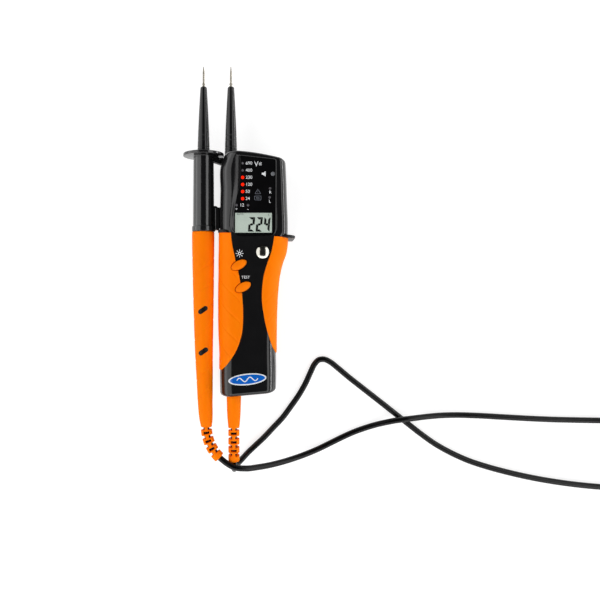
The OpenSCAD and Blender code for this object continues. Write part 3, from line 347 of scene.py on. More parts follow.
def turned_by(points, angle, mid=(0, 0)):
    """Points turned about the origin by an angle and moved to mid."""
    c, s = math.cos(angle), math.sin(angle)
    return points @ np.array([[c, s], [-s, c]]) + np.asarray(mid)


def rounded(corners, reach, steps=6):
    """A closed outline whose corners are parabolas: each starts and ends at the given reach from its corner,
    or half way along the side where that is nearer."""
    corners = np.asarray(corners, float)
    before, after = np.roll(corners, 1, 0) - corners, np.roll(corners, -1, 0) - corners
    l0, l1 = np.linalg.norm(before, axis=1), np.linalg.norm(after, axis=1)
    p0 = corners + before * (np.minimum(reach, l0 * 0.499) / l0)[:, None]
    p2 = corners + after * (np.minimum(reach, l1 * 0.499) / l1)[:, None]
    t = np.linspace(0, 1, steps)[None, :, None]
    points = (1 - t)**2 * p0[:, None] + 2 * t * (1 - t) * corners[:, None] + t * t * p2[:, None]
    return points.reshape(-1, 2)


def offset(outline, by):
    """An outline moved outwards along its normals, which are a quarter turn from its chords."""
    before, after = np.roll(outline, 1, 0), np.roll(outline, -1, 0)
    chord = after - before
    chord /= np.linalg.norm(chord, axis=1)[:, None]
    normal = np.stack([chord[:, 1], -chord[:, 0]], -1)
    area = np.sum(outline[:, 0] * after[:, 1] - after[:, 0] * outline[:, 1])
    return outline + normal * by * np.sign(area)


def box_outline(x0, y0, x1, y1, reach, grow=0.0):
    """A box between two corners, grown on every side, with rounded corners."""
    x0, y0, x1, y1 = x0 - grow, y0 - grow, x1 + grow, y1 + grow
    return rounded([[x0, y0], [x1, y0], [x1, y1], [x0, y1]], reach)


def at_height(outline, height, lift=0.0):
    """A flat outline put on a height function, or a lift above it."""
    return np.column_stack([outline, height(outline[:, 0], outline[:, 1]) + lift])


def level(z):
    """A height function that is the same everywhere."""
    return lambda x, y: z + 0 * x


# Surfaces: each is a pair of points and faces


def skin(grid, around=True, ends=True):
    """Faces over a grid of points. The last column joins the first, and one face closes each end."""
    grid = np.asarray(grid)
    rows, cols = grid.shape[:2]
    index = np.arange(rows * cols).reshape(rows, cols)
    if around:
        index = np.hstack([index, index[:, :1]])
    faces = np.stack([index[:-1, :-1], index[:-1, 1:], index[1:, 1:], index[1:, :-1]], -1)
    faces = faces.reshape(-1, 4).tolist()
    if around and ends:
        faces += [index[0, :-1][::-1].tolist(), index[-1, :-1].tolist()]
    return grid.reshape(-1, 3), faces


def stack(shape, rows):
    """A closed loft of flat outlines: the shape at each row's growth and height."""
    return skin([at_height(shape(grow, z), level(z)) for grow, z in rows])


def rims(low, high, top=0.0, foot=0.0, steps=4):
    """Growth and height of a plate's rings. An edge with a radius is a quarter circle, whose growth is
    -r(1 - cos t) where it falls short of the face by r(1 - sin t)."""
    t = np.linspace(0, np.pi / 2, steps)
    grow = np.r_[foot * (np.sin(t) - 1) if foot else 0, top * (np.cos(t) - 1) if top else 0]
    height = np.r_[low + foot * (1 - np.cos(t)) if foot else low, high - top * (1 - np.sin(t)) if top else high]
    return list(zip(grow, height))


def slab(outline, low, high, top=0.0, foot=0.0, steps=4):
    """A plate with an outline, from low to high, whose upper and lower edges may be rounded."""
    return stack(lambda grow, z: offset(outline, grow), rims(low, high, top, foot, steps))


def to_axis(profile):
    """A profile of radius against height, with a point beside the axis added at an end that stands away."""
    profile = [list(row) for row in profile]
    for place, end in ((0, profile[0]), (len(profile) + 1, profile[-1])):
        if end[0] > NEAR_AXIS:
            profile.insert(place, [NEAR_AXIS, end[1]])
    return np.array(profile, float)


def around(profile, sides):
    """A profile carried round: r sin t, r cos t and its height."""
    t = np.linspace(0, 2 * np.pi, sides, endpoint=False)
    r, height = profile[:, :1], profile[:, 1:]
    return r * np.sin(t), r * np.cos(t), height + 0 * t


def lathe(x, z, profile, sides=72):
    """A profile of radius against Y carried round an axis parallel to Y: x + r sin t, z + r cos t."""
    sine, cosine, y = around(to_axis(profile), sides)
    return skin(np.stack([x + sine, y, z + cosine], -1))


def post(x, y, profile, sides=40):
    """A profile of radius against Z carried round an upright axis: x + r cos t, y + r sin t."""
    sine, cosine, z = around(to_axis(profile), sides)
    return skin(np.stack([x + cosine, y + sine, z], -1))


def fillet(profile, r, steps=6):
    """A profile whose inner corners are rounded as an outline's are, with its two ends kept."""
    profile = to_axis(profile)
    smooth = rounded(profile, r, steps).reshape(len(profile), steps, 2)[1:-1].reshape(-1, 2)
    return np.vstack([profile[:1], smooth, profile[-1:]])


def laid(outline, height, thick, low=0.06):
    """A flat shape laid on the height function: its lower ring is sunk below it and its upper one lies above."""
    return skin([at_height(outline, height, -low), at_height(outline, height, thick)])


def laid_ring(outer, inner, height, thick, low=0.05):
    """A flat ring laid on the height function, closed round its own section."""
    loop = [(outer, -low), (outer, thick), (inner, thick), (inner, -low), (outer, -low)]
    return skin([at_height(outline, height, lift) for outline, lift in loop], True, False)


def laid_disc(outline, height, lift, rows, low):
    """A shape laid on a crowned surface: rings that shrink to its middle, each point at the surface's height,
    over a lower copy of its rim."""
    mid = outline.mean(0)
    rings = [at_height(outline, height, -low)]
    for share in 1 - 0.999 * np.linspace(0, 1, rows):
        rings.append(at_height(mid + (outline - mid) * share, height, lift * ramp(1 - share, -0.001, 0.03)))
    return skin(rings)


def carried(path, radius, sides=20):
    """A circle carried along a path. Its frame turns with the path by the smallest rotation from each point
    to the next."""
    along = np.gradient(path, axis=0)
    along /= np.linalg.norm(along, axis=1)[:, None]
    first = np.cross(along[0], [0, 0, 1.0])
    frames = [first / np.linalg.norm(first)]
    for t in along[1:]:
        side = frames[-1] - t * np.dot(frames[-1], t)
        frames.append(side / np.linalg.norm(side))
    side = np.array(frames)
    up = np.cross(side, along)
    a = np.linspace(0, 2 * np.pi, sides, endpoint=False)[None, :, None]
    return skin(path[:, None] + radius * (np.cos(a) * side[:, None] + np.sin(a) * up[:, None]))


def smooth_path(points, step):
    """A path through points at an even step: cubics over the length of the chords."""
    chord = np.r_[0, np.cumsum(np.linalg.norm(np.diff(points, axis=0), axis=1))]
    return through(np.column_stack([chord, points]), np.linspace(0, chord[-1], int(chord[-1] / step) + 1))


# Objects


def evaluated(obj):
    """The mesh that an object has after its modifiers."""
    return bpy.data.meshes.new_from_object(obj.evaluated_get(bpy.context.evaluated_depsgraph_get()))


def raw(name, surfaces):
    """One object from surfaces in millimetres."""
    points, faces, count = [], [], 0
    for p, f in surfaces:
        faces += [[i + count for i in face] for face in f]
        points.append(p)
        count += len(p)
    mesh = bpy.data.meshes.new(name)
    mesh.from_pydata((np.vstack(points) * MM).tolist(), [], faces)
    obj = bpy.data.objects.new(name, mesh)
    bpy.context.scene.collection.objects.link(obj)
    return obj


def settle(obj, angle):
    """Merges the poles of an object's surfaces, turns them outwards and shades them smooth below an angle."""
    bm = bmesh.new()
    bm.from_mesh(obj.data)
    bmesh.ops.remove_doubles(bm, verts=bm.verts, dist=1e-6)
    bmesh.ops.dissolve_degenerate(bm, edges=bm.edges, dist=1e-7)
    bmesh.ops.recalc_face_normals(bm, faces=bm.faces)
    bm.to_mesh(obj.data)
    bm.free()
    obj.data.shade_smooth()
    obj.data.set_sharp_from_angle(angle=math.radians(angle))
    return obj


def piece(name, surfaces, look, nodes="", cuts=(), body="main_unit", angle=35):
    """A finished piece: closed surfaces, less the cuts, with a finish, riding on a body. It
    replaces the named nodes of the frame."""
    obj = settle(raw(name, surfaces), angle)
    tools = [settle(raw(f"{name}_tool_{i}", [cut]), angle) for i, cut in enumerate(cuts)]
    for tool in tools:
        change = obj.modifiers.new("cut", "BOOLEAN")
        change.operation, change.solver, change.object = "DIFFERENCE", "MANIFOLD", tool
    if tools:
        shaped = evaluated(obj)
        obj.modifiers.clear()
        obj.data = shaped
        settle(obj, angle)
        for tool in tools:
            bpy.data.objects.remove(tool)
    obj.data.materials.clear()
    obj.data.materials.append(finish(look))
    if body:
        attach(obj, body)
    if nodes:
        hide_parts(*nodes.split())
    return obj


def lettering(entries, height):
    """Flat words made a mesh: each is a text, its middle and its size. The shapes are laid on the height
    function, a little above it."""
    surfaces = []
    for text, x, y, size in entries:
        curve = bpy.data.curves.new("word", "FONT")
        curve.body, curve.size, curve.offset = text, size / 0.7, 0.006 * size
        curve.align_x, curve.align_y = "CENTER", "CENTER"
        curve.extrude, curve.resolution_u = 0.02, 4
        obj = bpy.data.objects.new("word", curve)
        bpy.context.scene.collection.objects.link(obj)
        mesh = evaluated(obj)
        flat = np.empty(len(mesh.vertices) * 3)
        mesh.vertices.foreach_get("co", flat)
        flat = flat.reshape(-1, 3)
        points = at_height(flat[:, :2] + [x, y], height, flat[:, 2])
        surfaces.append((points, [list(p.vertices) for p in mesh.polygons]))
        bpy.data.objects.remove(obj)
    return surfaces


# The housing's own form


def bow(y):
    """How far a station bows towards the cord end, a square millimetre across: c times its share squared."""
    return END_BOW * (np.clip(y, 0, None) / HEAD_L)**2


def right_edge(y):
    """Width and depth of the right front edge, which is tighter beside the window than along the grip."""
    t = ramp(y, -3, 3)
    return [a + (b - a) * t for a, b in zip(RIGHT_EDGE, HEAD_EDGE)]


def front_height(x, y):
    """Height of the housing's front: its station's front edge, less b(1 - root(1 - t squared)) on the
    elliptical edges, where t is how far the place is into the edge."""
    x, y = np.asarray(x, float), np.asarray(y, float)
    row = through(HOUSING, y)
    row = through(HOUSING, y - row[..., 3] * x + bow(y) * x * x)
    a, b = right_edge(y)
    left = (-row[..., 0] + LEFT_EDGE[0] - x) / LEFT_EDGE[0]
    right = (x - row[..., 1] + a) / a
    return row[..., 2] - LEFT_EDGE[1] * fallen(np.minimum(left, 0.999)) - b * fallen(np.minimum(right, 0.999))


def face_at(spot):
    """The front's height at one place."""
    return float(front_height(*spot))


def curve(mid_x, mid_z, a, b, start, stop, n):
    """Part of the ellipse mid + (a cos t, b sin t) at every station."""
    t = np.radians(start + (stop - start) * np.linspace(0, 1, n))
    return np.stack([mid_x + a * np.cos(t), mid_z + b * np.sin(t)], -1)


def line(x0, z0, x1, z1, n):
    """Even points from one place to another at every station, without the last."""
    t = np.linspace(0, 1, n, endpoint=False)
    return np.stack([x0 * (1 - t) + x1 * t, z0 * (1 - t) + z1 * t], -1)


def housing_half(front):
    """One half of the housing: cross-sections of straight sides and quarter ellipses, cut off at the parting
    plane with a small chamfer. Each leans by y = place + slant x - bow x squared, both ends shrink by a quarter
    circle, and each end's face is its last section drawn in to its middle."""
    t = np.linspace(0, np.pi / 2, 9)
    low_y, high_y = HOUSING[0, 0], HOUSING[-1, 0]
    middle = np.linspace(low_y + END_R, high_y - HEAD_END_R, 190)[1:-1]
    places = np.r_[low_y + END_R * (1 - np.sin(t))[::-1], middle, high_y - HEAD_END_R * (1 - np.sin(t))][:, None]
    e = np.r_[END_R * (1 - np.cos(t))[::-1], 0 * middle, HEAD_END_R * (1 - np.cos(t))][:, None]
    left, right, high, slant = columns(HOUSING, places)
    left, right, high = e - left, right - e, high - e
    c = mm("parting")
    seam = PROBE_Z + 0 * e
    if front:
        la, lb = LEFT_EDGE[0] - e, LEFT_EDGE[1] - e
        ra, rb = [reach - e for reach in right_edge(places)]
        foot = PROBE_Z + c + 0.1
        l0, r0 = [np.degrees(np.arcsin(np.clip((foot - high + b) / b, 0, 0.9))) for b in (lb, rb)]
        parts = [line(left + c, seam, right - c, seam, 6), line(right - c, seam, right, seam + c, 1),
                 line(right, seam + c, right, np.maximum(high - rb, foot), 8),
                 curve(right - ra, high - rb, ra, rb, r0, 90, 22),
                 line(right - ra, high, left + la, high, 30)[:, 1:],
                 curve(left + la, high - lb, la, lb, 90, 180 - l0, 26),
                 line(left, np.maximum(high - lb, foot), left, seam + c, 6)[:, 1:],
                 line(left, seam + c, left + c, seam, 1)]
    else:
        a, b, low = np.maximum(BACK_EDGE[0] - e, 1), np.maximum(BACK_EDGE[1] - e, 1), e
        parts = [line(right - c, seam, left + c, seam, 6), line(left + c, seam, left, seam - c, 1),
                 line(left, seam - c, left, low + b, 8), curve(left + a, low + b, a, b, 180, 270, 18),
                 line(left + a, low, right - a, low, 30)[:, 1:], curve(right - a, low + b, a, b, 270, 360, 18),
                 line(right, low + b, right, seam - c, 8)[:, 1:], line(right, seam - c, right - c, seam, 1)]
    xz = np.concatenate(parts, 1)
    share = np.array([0.01, 0.25, 0.5, 0.75])[:, None, None]
    low, high = [end.mean(0) + share * (end - end.mean(0)) for end in (xz[0], xz[-1])]
    x, z = np.moveaxis(np.concatenate([low, xz, high[::-1]]), -1, 0)
    places, slant = [np.pad(column, ((4, 4), (0, 0)), "edge") for column in (places, slant)]
    return skin(np.stack([x, places + slant * x - bow(places) * x**2, z], -1))


def guard_foot(x):
    """Where the finger guard's lower face crosses a place across the housing."""
    return GUARD_Y - GUARD_THICK / math.cos(GUARD_TURN) + math.tan(GUARD_TURN) * x - 0.02


def grip_patch(edge, side):
    """A soft grip: a sheet over the housing's section from the grip's inner edge, over the front corner and
    down the side to the back corner. It stands proud by p root(1 - (1 - d / r) squared) within r of its rim,
    and slanting grooves lower it by g exp(-(distance / width) squared)."""
    rim_r, depth, overlap = 1.1, 1.1, 0.12
    stop = edge[-1, 0] + (1.0 if side > 0 else 0)
    places = edge[0, 0] + crowded(stop - edge[0, 0], 0.9, 300)
    left, right, high, slant = columns(HOUSING, places)
    wide, (a, b) = (left, LEFT_EDGE) if side < 0 else (right, RIGHT_EDGE)
    seam = np.abs(through(edge, places[:, 0]))
    start = np.maximum(wide - a, 0)
    first = np.minimum(seam, start)
    angle = np.arcsin(np.clip((seam - start) / a, 0, 0.97))
    in_x, in_z = a * np.sin(angle), b * np.cos(angle)
    u = 1 - np.cos(np.pi * np.linspace(0, 1, 40) / 2)
    t = angle + (np.pi / 2 - angle) * np.linspace(0, 1, 40)[1:]
    s = np.linspace(0, 1, 24)[1:]
    back_a, back_b = BACK_EDGE
    w = np.sin(np.linspace(0, np.pi / 2, 16))[1:] * (np.pi / 2 - np.arccos((back_b - 4.0) / back_b))
    # The front, its corner, the side and the back corner: x, z and the normal's two parts
    parts = [(first + in_x + (start - first) * u, high - b + in_z, np.sin(angle) / a, np.cos(angle) / b),
             (start + a * np.sin(t), high - b + b * np.cos(t), np.sin(t) / a, np.cos(t) / b),
             (wide + 0 * s, (high - b) * (1 - s) + back_b * s, 1, 0),
             (wide - back_a + back_a * np.cos(w), back_b - back_b * np.sin(w), np.cos(w) / back_a,
              -np.sin(w) / back_b)]
    x, z, nx, nz = [np.concatenate([np.broadcast_to(part[i], part[0].shape) for part in parts], 1)
                    for i in range(4)]
    size = np.hypot(nx, nz)
    nx, nz = nx / size, nz / size
    y = np.minimum(places + slant * side * x, guard_foot(side * x))
    across = np.pad(np.cumsum(np.hypot(np.diff(x, axis=1), np.diff(z, axis=1)), axis=1), ((0, 0), (1, 0)))
    rim = np.minimum(across, across[:, -1:] - across)
    rim = np.minimum(rim, np.minimum(places - places[0], places[-1] - places))
    lift = mm("grip_proud") * (1 - fallen(1 - rim / rim_r)) - overlap
    unrolled = across + first + np.hypot(in_x, b - in_z)
    pitch = mm("groove_pitch")
    phase = (y + 51.7 - (unrolled - 31.7)) / pitch
    near = (phase - np.round(phase)) * pitch / math.sqrt(2)
    held = ramp(rim, 0.6, 3.0) * ramp(-y, 22, 30) * ramp(y, -95, -86)
    lift -= held * mm("groove_depth") * np.exp(-(near / mm("groove_width"))**2)
    outer = np.stack([side * (x + nx * lift), y, z + nz * lift], -1)
    inner = np.stack([side * (x - nx * depth), y, z - nz * depth], -1)
    return skin(np.concatenate([outer, inner[:, ::-1]], 1))


def guard_plate():
    """The finger guard: an outline with round corners across the housing, whose edges are quarter circles."""
    left, right, high, foot_r, top_r = -23.93, 29.02, 35.2, 3.5, 7.0
    outline = []
    for x, z, r, start in ((left + foot_r, foot_r, foot_r, 180), (right - foot_r, foot_r, foot_r, 270),
                           (right - top_r, high - top_r, top_r, 0), (left + top_r, high - top_r, top_r, 90)):
        a = np.radians(start + np.linspace(0, 90, 14))
        outline.append(np.stack([x + r * np.cos(a), z + r * np.sin(a)], -1))
    outline = np.concatenate(outline)
    rings = []
    for grow, depth in rims(0, GUARD_THICK, 0.6, 0.6, 6):
        x, z = offset(outline, grow).T
        xy = turned_by(np.column_stack([x, 0 * x - depth]), GUARD_TURN, (0, GUARD_Y))
        rings.append(np.column_stack([xy, z]))
    return skin(rings)


def window_outline(grow, ledge):
    """The window's rounded outline, grown evenly, with its left corners moved out by a share of their ledge."""
    return offset(rounded(WINDOW - np.column_stack([ledge * LEDGE, 0 * LEDGE]), WINDOW_REACH, 10), grow)


def window_pocket():
    """The cut for the window: straight sides with a rim rounded by the lip, and on the left a hollow ledge that
    rises by its share to the power 1.25."""
    lip, gap = mm("window_lip"), 0.1
    rise = BODY_D - WINDOW_TOP
    rows = [(gap, WINDOW_TOP - 0.9)] + [(gap, WINDOW_TOP + h) for h in np.linspace(0, rise - lip, 4)]
    rows += [(gap + lip * (1 - math.cos(a)), BODY_D - lip + lip * math.sin(a)) for a in np.linspace(0.2, 1.42, 8)]
    rows.append((1.1 + lip, BODY_D + 1.5))
    return stack(lambda grow, z: window_outline(grow, np.clip((z - WINDOW_TOP) / rise, 0, 1.1)**0.8), rows)


def button_oval(name, grow):
    """A button's oval, grown evenly."""
    return turned_by(oval(BUTTON_HALF[0] + grow, BUTTON_HALF[1] + grow), BUTTON_TURN, BUTTONS[name])


def button_wells():
    """The wells of the buttons: their ovals grown by the gap, flared a little where they meet the front."""
    wells = []
    for name, spot in BUTTONS.items():
        face = face_at(spot)
        rows = [(BUTTON_GAP, 25.5), (BUTTON_GAP, face - 0.35), (BUTTON_GAP + 0.12, face + 0.1),
                (BUTTON_GAP + 0.5, face + 0.75), (BUTTON_GAP + 3, 40)]
        wells.append(stack(lambda grow, z: button_oval(name, grow), rows))
    return wells


# Finishes


def wire(tree, target, sockets):
    """Gives each named socket of a node its value, or joins another node's output to it."""
    for socket, value in sockets.items():
        if isinstance(value, bpy.types.NodeSocket):
            tree.links.new(value, target.inputs[socket])
        else:
            target.inputs[socket].default_value = value


def node(tree, kind, sockets=None, **settings):
    """The outputs of a new node, with its settings made and its sockets filled."""
    made = tree.nodes.new(kind)
    for name, value in settings.items():
        setattr(made, name, value)
    wire(tree, made, sockets or {})
    return made.outputs


def new_material(name):
    material = bpy.data.materials.new(name)
    material.use_nodes = True
    return material, material.node_tree, material.node_tree.nodes["Principled BSDF"]


def noise(tree, size, detail, stretch=None):
    """Noise on object coordinates, with features of a size in millimetres."""
    place = node(tree, "ShaderNodeTexCoord")["Object"]
    if stretch:
        place = node(tree, "ShaderNodeMapping", {"Vector": place, "Scale": stretch})["Vector"]
    return node(tree, "ShaderNodeTexNoise", {"Vector": place, "Scale": 1000 / size, "Detail": detail})["Fac"]


def spread_over(tree, value, low, high, start, stop):
    """A value's way from low to high, carried over to that from start to stop."""
    sockets = {"Value": value, "From Min": low, "From Max": high, "To Min": start, "To Max": stop}
    return node(tree, "ShaderNodeMapRange", sockets)["Result"]


def tones(tree, value, low, dark, high, light):
    """A colour that goes from dark at low to light at high."""
    made = tree.nodes.new("ShaderNodeValToRGB")
    for element, place, tint in zip(made.color_ramp.elements, (low, high), (dark, light)):
        element.position, element.color = place, (*np.clip(tint, 0, 1), 1)
    wire(tree, made, {"Fac": value})
    return made.outputs["Color"]


def either(tree, first, second):
    """The sum of two shares, held to one."""
    return node(tree, "ShaderNodeMath", {0: first, 1: second}, operation="ADD", use_clamp=True)["Value"]


def moulded(name, tint, rough, grain, lift, spread, drift=9.0, uneven=0.06, stretch=None, sockets=None):
    """A moulded, ground or drawn surface. Fine noise lifts it, a middling noise varies its roughness and a slow
    one drifts its colour. Grain and drift are feature sizes and lift is a height, in millimetres."""
    material, tree, shader = new_material(name)
    fine = noise(tree, grain, 4.0, stretch)
    bump = node(tree, "ShaderNodeBump", {"Strength": 0.6, "Distance": lift * MM, "Height": fine})["Normal"]
    rub = spread_over(tree, noise(tree, grain * 9, 3.0), 0.3, 0.7, max(rough - uneven, 0.02), rough + uneven)
    tone = tones(tree, noise(tree, drift, 5.0), 0.32, tint * (1 - spread), 0.68, tint * (1 + spread))
    wire(tree, shader, {"Normal": bump, "Roughness": rub, "Base Color": tone, **(sockets or {})})
    return material


def glowing(name, tint, strength):
    """A lit lamp: its lens glows most in the middle of its dome and is a little deeper towards its rim."""
    material, tree, shader = new_material(name)
    facing = node(tree, "ShaderNodeNewGeometry")["Normal"]
    up = node(tree, "ShaderNodeSeparateXYZ", {"Vector": facing})["Z"]
    tone = tones(tree, up, 0.2, tint * [0.6, 0, 0], 1.0, tint)
    wire(tree, shader, {"Base Color": (*tint, 1), "Roughness": 0.25, "Specular IOR Level": 0.2,
                        "Emission Color": tone, "Emission Strength": strength})
    return material


def finish(name):
    """A finish by its material's name, made when it is first used."""
    if name not in MADE:
        colours = bpy.context.scene.tester_colours
        tint, *values = FINISHES[name][1:]
        tint = np.array(getattr(colours, tint) if hasattr(colours, tint) else shade(tint))
        make = glowing if name == "lamp_lens_lit" else moulded
        MADE[name] = make(name, tint, *values)
    return MADE[name]


# Operators


class TESTER_OT_camera(bpy.types.Operator):
    """Sets the camera straight above the tester, shifted to the photograph's framing"""
    bl_idname = "tester.camera"
    bl_label = "Camera"

    def execute(self, context):
        data = bpy.data.cameras.new("studio_camera")
        data.sensor_width, data.lens = 36.0, 38.57
        data.shift_x, data.shift_y = 0.0733, -0.0167
        data.clip_start = 0.01
        camera = bpy.data.objects.new("studio_camera", data)
        camera.location = (0.0021, -0.0378, 0.468)
        context.scene.collection.objects.link(camera)
        context.scene.camera = camera
        return {"FINISHED"}


def main_bend(s, across=0.0, up=0.0):
    """A place in the main unit's relief, by its way along, across and up. The relief droops round a circle."""
    t, r = s / MAIN_BEND_R, MAIN_BEND_R
    x, y = MAIN_RELIEF
    return np.stack([x + across, y - (r + up) * np.sin(t), PROBE_Z - r + (r + up) * np.cos(t)], -1)


def handset_bend(s, across=0.0, up=0.0):
    """A place in the handset's relief, by its way along, across and up. It bends to the right round a circle."""
    t, r = s / HANDSET_BEND_R, HANDSET_BEND_R
    x, y = HANDSET_RELIEF
    return np.stack([x + r - (r - across) * np.cos(t), y - (r - across) * np.sin(t), PROBE_Z + up], -1)


class TESTER_OT_cords(bpy.types.Operator):
    """Lays the main strand with its coil, and the handset's strand, as round cords through their routes"""
    bl_idname = "tester.cords"
    bl_label = "Cords"

    def execute(self, context):
        d = mm("cord_diameter")
        turn = np.arange(0, 360 * COIL_TURNS + 1, 15.0)
        angle = np.radians(turn) - np.pi / 2
        r = COIL_R - COIL_PITCH * np.minimum(turn, 360 * COIL_TURNS - turn) / 360
        x, y, z = COIL
        climb = COIL_PITCH * np.clip((turn - 540) / 180, 0, 1)
        coil = np.stack([x + r * np.cos(angle), y + r * np.sin(angle), z + climb], -1)
        lead_in, lead_out = coil[[0, -1]] - [4.2, 0, 0]
        main_points = np.vstack([main_bend(RIBBED_L), np.add(MAIN_ROUTE, ROUTE_LIFT), lead_in, coil, lead_out])
        handset_points = np.vstack([handset_bend(RIBBED_L), np.add(HANDSET_ROUTE, ROUTE_LIFT), lead_out])
        for name, points, nodes, body in (
                ("main_cord", main_points, "cord_main_run cord_coil", "main_unit"),
                ("handset_cord", handset_points, "cord_handset_run", None)):
            path = smooth_path(points, 1.2)
            obj = piece(name, [carried(path, d / 2)], "cord_skin", nodes, body=body, angle=50)
            if not body:
                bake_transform(obj)
        return {"FINISHED"}


class TESTER_OT_housing(bpy.types.Operator):
    """Builds both halves of the housing as lofts of elliptical-cornered sections, and the finger guard"""
    bl_idname = "tester.housing"
    bl_label = "Housing"

    def execute(self, context):
        pocket = window_pocket()
        face, r = face_at(ELECTRODE), ELECTRODE_R
        seat = post(*ELECTRODE, [[r + 0.1, face - 0.6], [r + 0.15, face - 0.2], [r + 0.6, face + 0.5],
                                 [r + 3, face + 6]], 48)
        badge = turned_by(oval(BADGE_HALF[0] + 0.12, BADGE_HALF[1] + 0.12), BADGE_TURN, BADGE)
        recess = laid(badge, front_height, 2, 0.25)
        slots = [slab(box_outline(root - 4, y + 0.7, root + 2.25, y + l - 0.7, 0.3), 18.2, 21.8)
                 for y, l, root in FINS]
        piece("housing_front", [housing_half(True)], "housing_plastic", "front_shell",
              [pocket, seat, recess] + button_wells() + slots)
        cover_bed = slab(box_outline(*COVER, 1.6, 0.3), -1, 2.6)
        box = slab(box_outline(*BATTERY_BOX, 1.0), -1, 13.5)
        bore = post(*COVER_SCREW, [[1.35, -1], [1.35, 12]], 32)
        hole = [[3.1, -1], [2.6, 0.6], [2.6, 6.1], [1.4, 6.2], [1.4, 19]]
        piece("housing_rear", [housing_half(False)], "housing_plastic", "rear_shell",
              [cover_bed, box, bore] + [post(*spot, hole) for spot in SCREWS] + slots)
        piece("finger_guard", [guard_plate()], "core_plastic", cuts=[pocket])
        return {"FINISHED"}


class TESTER_OT_grips(bpy.types.Operator):
    """Lays the two soft grips over the housing, with rolled rims and slanting grooves"""
    bl_idname = "tester.grips"
    bl_label = "Grips"

    def execute(self, context):
        piece("soft_grip_left", [grip_patch(LEFT_GRIP, -1)], "grip_rubber", "left_grip", button_wells())
        piece("soft_grip_right", [grip_patch(RIGHT_GRIP, 1)], "grip_rubber", "right_grip")
        return {"FINISHED"}


def seven_segments(digit, x, y, high):
    """The bars of one digit: the outer six are mitred at their corners, the middle one has pointed ends, each is
    drawn in by the gap, and all lean by x = lean times y."""
    wide, t, half, lean, gap = 2.6, 0.8, high / 2, 0.09, 0.06
    top = [(-t, high + t), (wide + t, high + t), (wide - t, high - t), (t, high - t)]
    side = [(wide + t, high + t), (wide + t, half), (wide, half), (wide - t, half + t), (wide - t, high - t)]
    middle = [(0, half), (t, half + t), (wide - t, half + t), (wide, half), (wide - t, half - t), (t, half - t)]
    places = {"a": (top, 1, 1), "d": (top, 1, -1), "b": (side, 1, 1), "c": (side, 1, -1),
              "f": (side, -1, 1), "e": (side, -1, -1), "g": (middle, 1, 1)}
    bars = []
    for key in {"2": "abged", "4": "fgbc"}[digit]:
        corners, across, up = places[key]
        bar = (np.array(corners) - [wide / 2, half]) * [across, up] + [wide / 2, half]
        bar = offset(bar[::-across * up], -gap)
        bar[:, 0] += lean * bar[:, 1]
        bars.append(bar + [x, y])
    return bars


def lamp_dome(x, y, r, top):
    """A lamp on its post: a lens that narrows at the window's face and is domed above it."""
    return post(x, y, [[r, BOARD_TOP], [r, WINDOW_TOP + 0.02], [r * 0.94, WINDOW_TOP + 0.1], [r * 0.75, top],
                       [r * 0.4, top + 0.06], [NEAR_AXIS, top + 0.08]])


